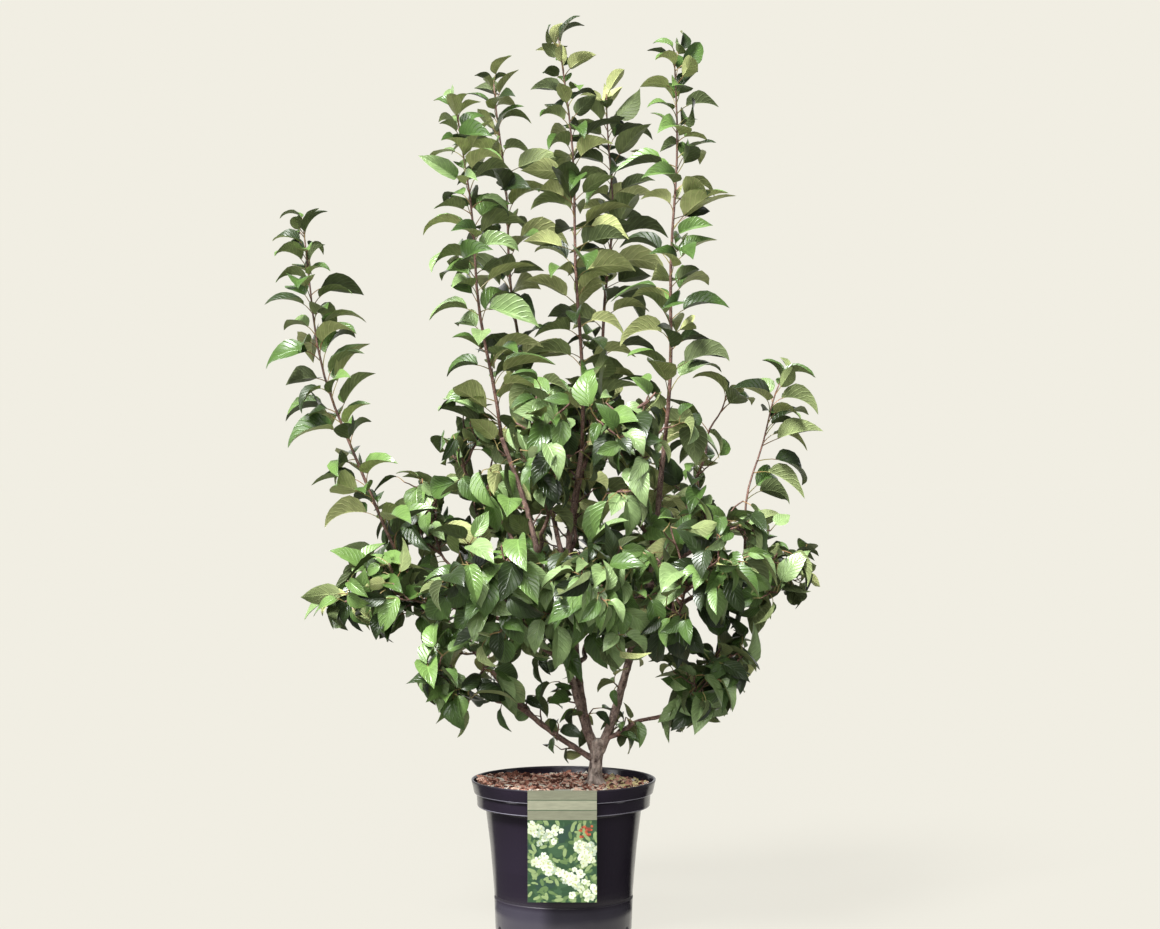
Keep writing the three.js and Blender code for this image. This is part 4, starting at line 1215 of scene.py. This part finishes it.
def branch(parent, t, angle, length, radii, random):
    """A twig that leaves its parent at t: it aims along the parent, spread outwards at the angle, and a
    little up, and sags by a part of its length."""
    start, tangent = (row[0] for row in parent.at(t))
    side, other = cross_axes(tangent[None], parent.end - parent.start)
    outward = side[0] * math.cos(angle) + other[0] * math.sin(angle)
    lift = TWIG_LIFT * random.uniform(0, 2.4)
    aim = unit(unit(tangent + TWIG_SPREAD * outward) + lift * UP)
    length = length * random.uniform(0.8, 1.16)
    return Limb(
        parent.name, start, start + aim * length, (0, 0, -TWIG_SAG * length), radii, TWIG_SWAY * length,
        carrier=parent, foot=t)


def grow_side_twigs(parent, number, span, length, radii, fits, crown, random):
    """Side twigs leave their parent in turn, a golden angle apart, and shorter towards its tip. One that
    doesn't fit, touches a limb or shows where the crown is open turns on a little, and is left out if it fits
    nowhere. The shortest ones may pass the crown's outline."""
    turn = random.uniform(0, TURN)
    may_pass = length < 0.75 * SPUR_LENGTH
    twigs = []
    for k in range(number):
        t = span[0] + (span[1] - span[0]) * k / max(1, number - 1)
        for attempt in range(TWIG_TRIES):
            angle = turn + k * GOLDEN_ANGLE + attempt * TURN_ON
            twig = branch(parent, t, angle, length * (1 - 0.3 * t), radii, random)
            beyond = twig.at(np.linspace(max(0.25, (parent.radius(t) + 4) / twig.length), 1, 6))[0]
            within = (may_pass or in_outline(beyond)) and not in_opening(beyond)
            if within and fits(beyond) and crown.clear_of_limbs(beyond, TWIG_ROOM):
                crown.add_limb(twig)
                twigs.append(twig)
                break
    return twigs


def keeps(points, shoot, crown, random):
    """Whether a leaf stays, where the crown thins out upwards and stems show through it."""
    if shoot:
        return True
    thin = np.interp(points[:, 2].mean(), THINNING, (1.0, THIN_SHARE))
    return random.random() < thin and not (crown.hides_stem(points) and random.random() < SHOWN_SHARE)


def grow_leaves(limb, kind, length, crown, fits, random):
    """Leaves leave a twig in turn, a golden angle apart, from its tip to near its foot, and closer together
    near the tip of a shoot. Each points out from its twig, with its upper side up and out from the crown, and
    keeps to the mass's reach, clear of limbs, of other leaves and of the openings. The twig is made only as
    far as its last leaf."""
    leaves = []
    shoot = kind is SHOOT_LEAF
    may_pass = shoot or length < SMALL_LEAF
    first = kind["first"]
    count = max(1, round(limb.length * (1 - first) / kind["spacing"]))
    turn = random.uniform(0, TURN)
    limb.reach = 0.0
    for k in range(count, -1, -1):
        stray = kind["stray"] * random.uniform(-0.5, 0.5) if 0 < k < count else 0.0
        t = first + (0.99 - first) * (1 - (1 - (k + stray) / count) ** kind["crowding"])
        start, tangent = (row[0] for row in limb.at(t))
        side, other = cross_axes(tangent[None], limb.end - limb.start)
        forward = kind["forward"] + (1 - kind["forward"]) * t**6
        away = (start - CROWN_AXIS) * (1, 1, 0)
        away = away / np.linalg.norm(away)
        young = 1 - (1 - YOUNG_LEAF) * t**5 if shoot else 1
        size = length * random.uniform(*kind["sizes"]) * young
        bend, hang, curl = (random.uniform(*span) for span in (kind["bend"], kind["hang"], LEAF_CURL))
        for attempt in range(LEAF_TRIES):
            angle = turn + k * GOLDEN_ANGLE + attempt * TURN_ON * (-1) ** attempt
            outward = side[0] * math.cos(angle) + other[0] * math.sin(angle)
            lift = kind["rise"] + random.uniform(*LEAF_RISE) - kind["droop"] * random.random()
            along = unit(unit(outward + forward * tangent) + lift * UP)
            face = UP + 0.55 * away + kind["roll"] * random.uniform(-0.5, 0.5, 3)
            up = unit(face - face.dot(along) * along)
            root = start + along * limb.radius(t) * 0.4
            line, _ = leaf_line(along, up, size, bend, hang, curl)
            samples = root + line[TEST_STATIONS]
            free = crown.clear_of_limbs(samples, LEAF_ROOM) and crown.clear_of_leaves(samples, kind["gap"])
            within = (may_pass or in_outline(samples[:FRINGE])) and not in_opening(samples)
            if not (free and within and fits(samples)):
                continue
            if keeps(samples, shoot, crown, random):
                crown.add_leaf(samples)
                limb.reach = max(limb.reach, t + 0.01)
                fold, width = random.uniform(*kind["fold"]), kind["width"] * random.uniform(0.85, 1.12)
                leaves.append((*root, *along, *up, size, bend, hang, curl, fold, width))
            break
    return leaves


def leaf_meshes(leaves, random):
    """Points of many leaves at once, on their middle lines. The blade spreads to both sides of the line: its
    half width grows as a power of the way from its foot and shrinks as a power of the way to its tip. Its
    two halves are folded up, rounded between, and wavy at the edge. The underside is two flat halves, from
    the edge to a line a little below the middle. A thin three-sided tube is the stalk, and ends under the
    blade."""
    leaves = np.array(leaves)
    count = len(leaves)
    root, along, up = leaves[:, 0:3], leaves[:, 3:6], leaves[:, 6:9]
    size, bend, hang, curl, fold, width = (leaves[:, k, None] for k in range(9, 15))
    side = np.cross(along, up)
    line, slope = leaf_line(along, up, size, bend, hang, curl)
    line = line + root[:, None]
    normal = -np.sin(slope)[..., None] * along[:, None] + np.cos(slope)[..., None] * up[:, None]
    twist = random.normal(0, 0.25, (count, 1)) * np.linspace(0, 1, LEAF_STEPS + 1)
    across = side[:, None] * np.cos(twist)[..., None] + normal * np.sin(twist)[..., None]
    above = normal * np.cos(twist)[..., None] - side[:, None] * np.sin(twist)[..., None]

    foot = BLADE_STATIONS[0]
    u = (BLADE_STATIONS - foot) / (LEAF_STEPS - foot)
    outline = (u + 0.004) ** 0.62 * (1.003 - u) ** 1.25
    outline = outline / outline.max() * (1 + random.normal(0, 0.035, (count, len(u))))
    half = (width * size / 2 * outline)[..., None]
    v = BLADE_COLUMNS
    angle = (fold * (1 - 0.45 * u))[..., None]
    phase = random.uniform(0, TURN, (count, 1, 1))
    wave = 0.085 * np.sin(1.3 * TURN * u[:, None] + phase + 1.2 * np.sign(v)) * v**2
    lift = half * (np.abs(v) * np.sin(angle) + 0.16 * (np.abs(v) - v**2) + wave)
    out = half * v * np.cos(angle)
    middle, wide, high = (rows[:, BLADE_STATIONS, None] for rows in (line, across, above))
    sheet = middle + out[..., None] * wide + lift[..., None] * high
    under = (middle - 0.9 * high)[:, 1:-1]

    thickness = np.interp(STALK_RINGS, (0, foot), (1.0, 0.7))[None, :, None, None]
    corner = np.linspace(0, TURN, 3, endpoint=False) + math.pi / 2
    centre, wide, high = (rows[:, STALK_RINGS, None] for rows in (line, across, above))
    around = np.cos(corner)[:, None] * wide + np.sin(corner)[:, None] * high
    stalk = centre - 0.3 * high + thickness * around
    points = np.concatenate([part.reshape(count, -1, 3) for part in (sheet, under, stalk)], axis=1)

    sheet_map = np.stack(np.broadcast_arrays(u[:, None], 0.5 + 0.5 * v), axis=-1)
    under_map = np.stack([u[1:-1], np.full(len(u) - 2, 0.5)], axis=-1)
    stalk_map = np.full((len(STALK_RINGS) * len(corner), 2), 0.5)
    uv = np.concatenate([sheet_map.reshape(-1, 2), under_map, stalk_map])
    return points, np.broadcast_to(uv, (count, *uv.shape))


def leaf_faces():
    """Faces of one leaf: the upper sheet's quads, the underside's, whose foot, tip and edge are the upper
    sheet's own points, and the stalk's quads and end triangles."""
    rows, columns = len(BLADE_STATIONS), len(BLADE_COLUMNS)
    upper = np.arange(rows * columns).reshape(rows, columns)
    lower = upper[:, [0, columns // 2, -1]].copy()
    lower[1:-1, 1] = rows * columns + np.arange(rows - 2)

    def quads(grid):
        return np.stack([grid[:-1, :-1], grid[1:, :-1], grid[1:, 1:], grid[:-1, 1:]], axis=-1).reshape(-1, 4)

    stalk, caps = tube_faces(len(STALK_RINGS), 3)
    start = rows * columns + rows - 2
    return quads(upper), quads(lower)[:, [0, 3, 2, 1]], stalk[:, ::-1] + start, caps[:, ::-1] + start


LEAF_TONES = (
    ("Leaf deep", (0.030, 0.052, 0.015)), ("Leaf green", (0.081, 0.153, 0.034)),
    ("Leaf fresh", (0.163, 0.277, 0.073)), ("Leaf bright", (0.255, 0.370, 0.145)),
)
# The dark and pale underside tones are painted shade and painted light: darker and lighter copies of the
# underside, dealt at random for leaves in shade and lit leaves
UNDER_TONES = (
    ("Leaf underside painted shade", (0.108, 0.140, 0.055)), ("Leaf underside", (0.245, 0.298, 0.120)),
    ("Leaf underside painted light", (0.500, 0.550, 0.225)),
)

# Above this height, this share of the leaves is a tone lighter: painted light for the plant's lit top
PAINTED_LIGHT_HEIGHT = 600.0
PAINTED_LIGHT_SHARE = 0.4

# The shares of the tones, in the order above; among the undersides the crown's take more of the painted shade
# tone and the shoots' more of the painted light tone
CROWN_SHARES = (0.30, 0.28, 0.26, 0.16)
SHOOT_SHARES = (0.36, 0.28, 0.20, 0.16)
CROWN_UNDER_SHARES = (0.40, 0.44, 0.16)
SHOOT_UNDER_SHARES = (0.24, 0.33, 0.43)
FAR_LEFT_UNDER_SHARES = (0.34, 0.34, 0.32)

# A twig's rings, its sides, and its age in the bark's colours
TWIG_RINGS = 12
TWIG_SIDES = 6
TWIG_AGE = 0.08


def deal_tones(spray, share, random):
    """The upper sides' tones of a spray's leaves: the spray's own, a step up or down for some, and often a
    step up in the plant's top as painted light."""
    tones = random.choice(len(share), p=share) + random.integers(-1, 2, len(spray))
    heights = np.array([leaf[2] for leaf in spray])
    # Painted light: above the lit height some leaves step a tone lighter
    tones = tones + ((heights > PAINTED_LIGHT_HEIGHT) & (random.uniform(0, 1, len(spray)) < PAINTED_LIGHT_SHARE))
    return np.clip(tones, 0, len(share) - 1)


def leaf_material(name, color, roughness, vein_light, specular):
    """A leaf's skin: one plain colour a little uneven, veins a little lighter, raised between the veins."""
    material, tree, shader = new_material(name, color, roughness, specular)
    mottle = place_group(
        tree, mottle_group(), Vector=place_on_object(tree), Color=color, Second=tinted(color, 0.56),
        Scale=60.0, Amount=0.8)
    veins = place_group(tree, vein_group(), Vector=place_on_surface(tree), Veins=8.0)
    lighter = work_out(tree, "MULTIPLY", veins["Mask"], vein_light)
    set_inputs(tree, shader, {
        "Base Color": mix_colors(tree, lighter, mottle["Color"], tinted(color, 2.1)),
        "Normal": raised(tree, veins["Height"], 0.6, 0.0011),
    })
    return material


def make_twigs(twigs, settings):
    """Every stem and twig as a six-sided tapering tube."""
    step = TWIG_RINGS * TWIG_SIDES
    points, uvs = [], []
    for twig in twigs:
        tube, uv, _ = tube_points(twig, TWIG_RINGS, TWIG_SIDES)
        points.append(tube.reshape(-1, 3))
        uvs.append(uv.reshape(-1, 2) + (0, 0.29 * len(points)))
    faces = [repeat_faces(group, len(twigs), step) for group in tube_faces(TWIG_RINGS, TWIG_SIDES)]
    piece = make_piece(
        "twigs", np.concatenate(points), faces, uv=np.concatenate(uvs),
        attributes={"age": np.full(len(twigs) * step, TWIG_AGE)})
    nodes = [f"foliage_{row[0]}" for row in LIMBS]
    dress(piece, [bark_material("Twig bark", settings, 0.55)], "bark", *nodes)


def make_leaves(name, sprays, share, under_share, materials, random):
    """The leaves of one mass in one mesh, spray by spray. The tones of upper sides and undersides are dealt
    by their shares, and the stalks have the last material."""
    upper, lower, stalk, caps = leaf_faces()
    tones = np.concatenate([deal_tones(spray, share, random) for spray in sprays])
    points, uv = leaf_meshes([leaf for spray in sprays for leaf in spray], random)
    total, step = points.shape[:2]
    under_tones = len(LEAF_TONES) + random.choice(len(UNDER_TONES), total, p=under_share)
    stalk_slot = len(materials) - 1
    faces = [repeat_faces(group, total, step) for group in (np.concatenate([upper, lower, stalk]), caps)]
    slots = np.concatenate([
        np.repeat(tones[:, None], len(upper), axis=1), np.repeat(under_tones[:, None], len(lower), axis=1),
        np.full((total, len(stalk)), stalk_slot)], axis=1).ravel()
    piece = make_piece(
        f"leaves_{name}", points.reshape(-1, 3), faces, uv=uv.reshape(-1, 2), sharp=60,
        slots=np.concatenate([slots, np.full(total * len(caps), stalk_slot)]))
    dress(piece, materials, "foliage", f"foliage_{name}")


def make_foliage(settings, bark):
    """Grows every mass in turn, first all its twigs and then its leaves, and makes the meshes. A limb is made
    at least as far as the last twig on it that has leaves."""
    boughs, stems = build_skeleton()
    crown = Crown([*boughs.values(), *stems.values()])
    spurs = {name: [] for name in boughs}
    random = np.random.default_rng(settings.seed + len(LIMBS))
    for name, first, last, number, leaf_size in SPURS:
        span, length = (first, last), SPUR_LENGTH * leaf_size
        grown = grow_side_twigs(boughs[name], number, span, length, SPUR_RADII, above_pot, crown, random)
        spurs[name] += [(twig, leaf_size) for twig in grown]
    masses, twigs = [], [*stems.values(), *(twig for row in spurs.values() for twig, _ in row)]
    for index, (name, *_, reach, count) in enumerate(LIMBS):
        random = np.random.default_rng(settings.seed + index)
        course = stems[name].at(np.linspace(0, 1, 21))[0]
        fits = partial(inside, course=course, reach=reach)
        well_inside = partial(inside, course=course, reach=reach - TWIG_MARGIN)
        side = grow_side_twigs(
            stems[name], 2 * count, TWIG_SPAN, TWIG_LENGTH, TWIG_RADII, well_inside, crown, random)
        finer = [
            twig for parent in side for twig in grow_side_twigs(
                parent, FINE_COUNT, FINE_SPAN, FINE_LENGTH, FINE_RADII, well_inside, crown, random)]
        twigs += side + finer
        masses.append((name, count, [stems[name], *side, *finer], fits, random))

    materials = [leaf_material(name, color, 0.35, 0.22, 0.65) for name, color in LEAF_TONES]
    materials += [leaf_material(name, color, 0.6, 0.3, 0.3) for name, color in UNDER_TONES]
    materials.append(mottled_material("Leaf stalk", (0.25, 0.27, 0.09), (0.24, 0.075, 0.045), 30.0, 0.9))
    crown_length, shoot_length = settings.leaf_length / MM, settings.shoot_leaf_length / MM
    for name, count, limbs, fits, random in masses:
        if count:
            kind, length, share, under_share = CROWN_LEAF, crown_length, CROWN_SHARES, CROWN_UNDER_SHARES
        else:
            kind, length, share, under_share = SHOOT_LEAF, shoot_length, SHOOT_SHARES, SHOOT_UNDER_SHARES
        if name == "far_left":
            under_share = FAR_LEFT_UNDER_SHARES
        sprays = [grow_leaves(limb, kind, length, crown, fits, random) for limb in limbs]
        sprays += [
            grow_leaves(spur, CROWN_LEAF, crown_length * leaf_size, crown, above_pot, random)
            for spur, leaf_size in spurs[name]]
        make_leaves(name, sprays, share, under_share, materials, random)
    for twig in reversed(twigs):
        if twig.carrier is not None and twig.reach > 0:
            twig.carrier.reach = max(twig.carrier.reach, twig.foot)
    make_twigs([twig for twig in twigs if twig.reach > 0], bark)


# Stage

FLOOR_HALF_SIZE = 60000.0

# How much of the backdrop's brightness the floor shines with by itself
FLOOR_SHINING = 0.9

# The wedge of floor behind the pot that mirrors see bright: how far back it starts for each unit to the side
WEDGE_SLOPE = 0.85

# The share of the floor's light that is kept from the plant
FLOOR_DIMMED = 0.42

WHITE = (1.0, 1.0, 1.0)

# The strength of the sky as mirrors see it
MIRRORED_SKY = 0.065

# Strips of light that only mirrors see: their place in X and Y, their width and their power
STRIPS = ((-2.8, -1.0, 0.8, 22), (0.0, 3.4, 5.0, 55), (2.8, -0.6, 0.5, 9))
STRIP_HEIGHT = 2.4
STRIP_MIDDLE = 1.3

CAMERA_LENS = 69.4


def link(name, data):
    """An object of the scene that holds a light or the camera."""
    holder = bpy.data.objects.new(name, data)
    bpy.context.scene.collection.objects.link(holder)
    return holder


def floor_material(backdrop, falling):
    """A floor of the backdrop's colour. Part of it shines, so that shadows on it are faint, and mirrors see
    it dark but for a round patch about the pot and a wedge that opens behind it. The light that it throws up
    on the plant is dimmed, so that undersides stay in shade."""
    material, tree, shader = new_material(
        "Floor", tinted(backdrop, (1 - FLOOR_SHINING) / falling), roughness=1.0, specular=0.0)
    material.cycles.emission_sampling = "NONE"
    set_inputs(tree, shader, {"Emission Color": backdrop, "Emission Strength": FLOOR_SHINING})
    dark = add_node(tree, "ShaderNodeBsdfDiffuse", {"Color": (0.05, 0.048, 0.05)}).outputs["BSDF"]
    place = place_on_object(tree)
    far = add_node(tree, "ShaderNodeVectorMath", {0: place}, operation="LENGTH").outputs["Value"]
    apart = split(tree, place)
    back = work_out(tree, "MULTIPLY", apart["Y"], -1.0)
    before = work_out(tree, "MULTIPLY_ADD", work_out(tree, "ABSOLUTE", apart["X"]), WEDGE_SLOPE, back)
    beyond, wedge = map_range(tree, far, 0.185, 0.215), map_range(tree, before, -0.04, 0.04)
    outside = work_out(tree, "MULTIPLY", beyond, wedge)
    path = add_node(tree, "ShaderNodeLightPath").outputs
    mirrored = work_out(tree, "MULTIPLY", outside, path["Is Glossy Ray"])
    share = work_out(tree, "MULTIPLY_ADD", path["Is Diffuse Ray"], FLOOR_DIMMED, mirrored)
    mix = add_node(tree, "ShaderNodeMixShader", {"Fac": share, 1: shader.outputs["BSDF"], 2: dark})
    set_inputs(tree, tree.nodes["Material Output"], {"Surface": mix.outputs[0]})
    return material


def make_sky(backdrop, strength):
    """The world: the camera sees the backdrop's colour, mirrors see a dim white, and an even white light
    falls on all else."""
    world = bpy.data.worlds.new("Studio")
    world.use_nodes = True
    bpy.context.scene.world = world
    tree = world.node_tree
    tree.nodes.clear()
    seen, light, mirrored = (
        add_node(tree, "ShaderNodeBackground", {"Color": color, "Strength": power}).outputs[0]
        for color, power in ((backdrop, 1.0), (WHITE, strength), (WHITE, MIRRORED_SKY)))
    path = add_node(tree, "ShaderNodeLightPath").outputs
    soft = add_node(tree, "ShaderNodeMixShader", {"Fac": path["Is Glossy Ray"], 1: light, 2: mirrored})
    mix = add_node(tree, "ShaderNodeMixShader", {"Fac": path["Is Camera Ray"], 1: soft.outputs[0], 2: seen})
    add_node(tree, "ShaderNodeOutputWorld", {"Surface": mix.outputs[0]})


def make_stage(settings):
    """A wide pale floor, an even sky of the same colour, a soft key light from the upper left front and a
    weaker fill from the front, strips of light for mirrors, and the camera level with the middle of the
    plant. The floor's colour is the backdrop's, divided by the light that falls on it, so that floor and sky
    meet unseen."""
    far = FLOOR_HALF_SIZE
    corners = [(-far, -far, 0), (far, -far, 0), (far, far, 0), (-far, far, 0)]
    floor = make_piece("floor", corners, [[(0, 1, 2, 3)]])
    lights = (
        ("key", settings.key, 18, (37, 0, -38)),
        ("fill", settings.fill, 40, (60, 0, -8)),
    )
    falling = settings.sky
    for name, strength, spread, rotation in lights:
        data = bpy.data.lights.new(name, "SUN")
        data.energy = strength
        data.angle = math.radians(spread)
        lamp = link(name, data)
        lamp.rotation_euler = [math.radians(angle) for angle in rotation]
        falling += strength * math.cos(math.radians(rotation[0])) / math.pi
    backdrop = tuple(settings.backdrop)
    floor.data.materials.append(floor_material(backdrop, falling))
    make_sky(backdrop, settings.sky)

    for x, y, width, power in STRIPS:
        data = bpy.data.lights.new("strip", "AREA")
        data.shape = "RECTANGLE"
        data.size, data.size_y = width, STRIP_HEIGHT
        data.energy = power
        strip = link("strip", data)
        strip.location = (x, y, STRIP_MIDDLE)
        strip.rotation_euler = (math.radians(90), 0, math.atan2(x, -y))
        strip.visible_diffuse = False
        strip.visible_camera = False

    camera = link("camera", bpy.data.cameras.new("camera"))
    camera.data.lens = CAMERA_LENS
    camera.location = [place * MM for place in VIEW_POINT]
    camera.rotation_euler = (math.radians(90), 0, 0)
    bpy.context.scene.camera = camera
    bpy.context.scene.view_settings.view_transform = "Standard"


# Operators


class CRABAPPLE_OT_pot(Operator):
    """Make the pot"""

    bl_idname = "crabapple.pot"
    bl_label = "Pot"

    def execute(self, context):
        make_pot(context.scene.crabapple_pot)
        return {"FINISHED"}


class CRABAPPLE_OT_soil(Operator):
    """Make the soil and its bark chips"""

    bl_idname = "crabapple.soil"
    bl_label = "Soil"

    def execute(self, context):
        make_soil(context.scene.crabapple_soil)
        return {"FINISHED"}


class CRABAPPLE_OT_label(Operator):
    """Make the label card"""

    bl_idname = "crabapple.label"
    bl_label = "Label card"

    def execute(self, context):
        make_label(context.scene.crabapple_label)
        return {"FINISHED"}


class CRABAPPLE_OT_bark(Operator):
    """Make the trunk and the boughs"""

    bl_idname = "crabapple.bark"
    bl_label = "Trunk and boughs"

    def execute(self, context):
        make_trunk(context.scene.crabapple_bark)
        make_boughs(context.scene.crabapple_bark)
        return {"FINISHED"}


class CRABAPPLE_OT_foliage(Operator):
    """Grow the twigs and leaves"""

    bl_idname = "crabapple.foliage"
    bl_label = "Twigs and leaves"

    def execute(self, context):
        make_foliage(context.scene.crabapple_foliage, context.scene.crabapple_bark)
        return {"FINISHED"}


class CRABAPPLE_OT_stage(Operator):
    """Set the floor, lights and camera"""

    bl_idname = "crabapple.stage"
    bl_label = "Stage"

    def execute(self, context):
        make_stage(context.scene.crabapple_stage)
        return {"FINISHED"}


class CRABAPPLE_PT_panel(Panel):
    """Lists the steps that dress the plant"""

    bl_idname = "CRABAPPLE_PT_panel"
    bl_label = "Potted Crabapple"
    bl_space_type = "VIEW_3D"
    bl_region_type = "UI"
    bl_category = "Crabapple"

    def draw(self, context):
        for operator, settings in STEPS:
            box = self.layout.box()
            box.operator(operator.bl_idname)
            group = getattr(context.scene, settings)
            for name in group.__annotations__:
                box.prop(group, name)


STEPS = (
    (CRABAPPLE_OT_stage, "crabapple_stage"),
    (CRABAPPLE_OT_pot, "crabapple_pot"),
    (CRABAPPLE_OT_soil, "crabapple_soil"),
    (CRABAPPLE_OT_label, "crabapple_label"),
    (CRABAPPLE_OT_bark, "crabapple_bark"),
    (CRABAPPLE_OT_foliage, "crabapple_foliage"),
)
SETTINGS = {
    "crabapple_pot": PotSettings, "crabapple_soil": SoilSettings, "crabapple_label": LabelSettings,
    "crabapple_bark": BarkSettings, "crabapple_foliage": FoliageSettings, "crabapple_stage": StageSettings,
}
CLASSES = (*SETTINGS.values(), *(operator for operator, _ in STEPS), CRABAPPLE_PT_panel)


def register():
    for cls in CLASSES:
        bpy.utils.register_class(cls)
    for name, group in SETTINGS.items():
        setattr(bpy.types.Scene, name, PointerProperty(type=group))


def unregister():
    for name in SETTINGS:
        delattr(bpy.types.Scene, name)
    for cls in reversed(CLASSES):
        bpy.utils.unregister_class(cls)


def main():
    register()
    bpy.ops.crabapple.stage()
    bpy.ops.crabapple.pot()
    bpy.ops.crabapple.soil()
    bpy.ops.crabapple.label()
    bpy.ops.crabapple.bark()
    bpy.ops.crabapple.foliage()


if __name__ == "__main__":
    main()
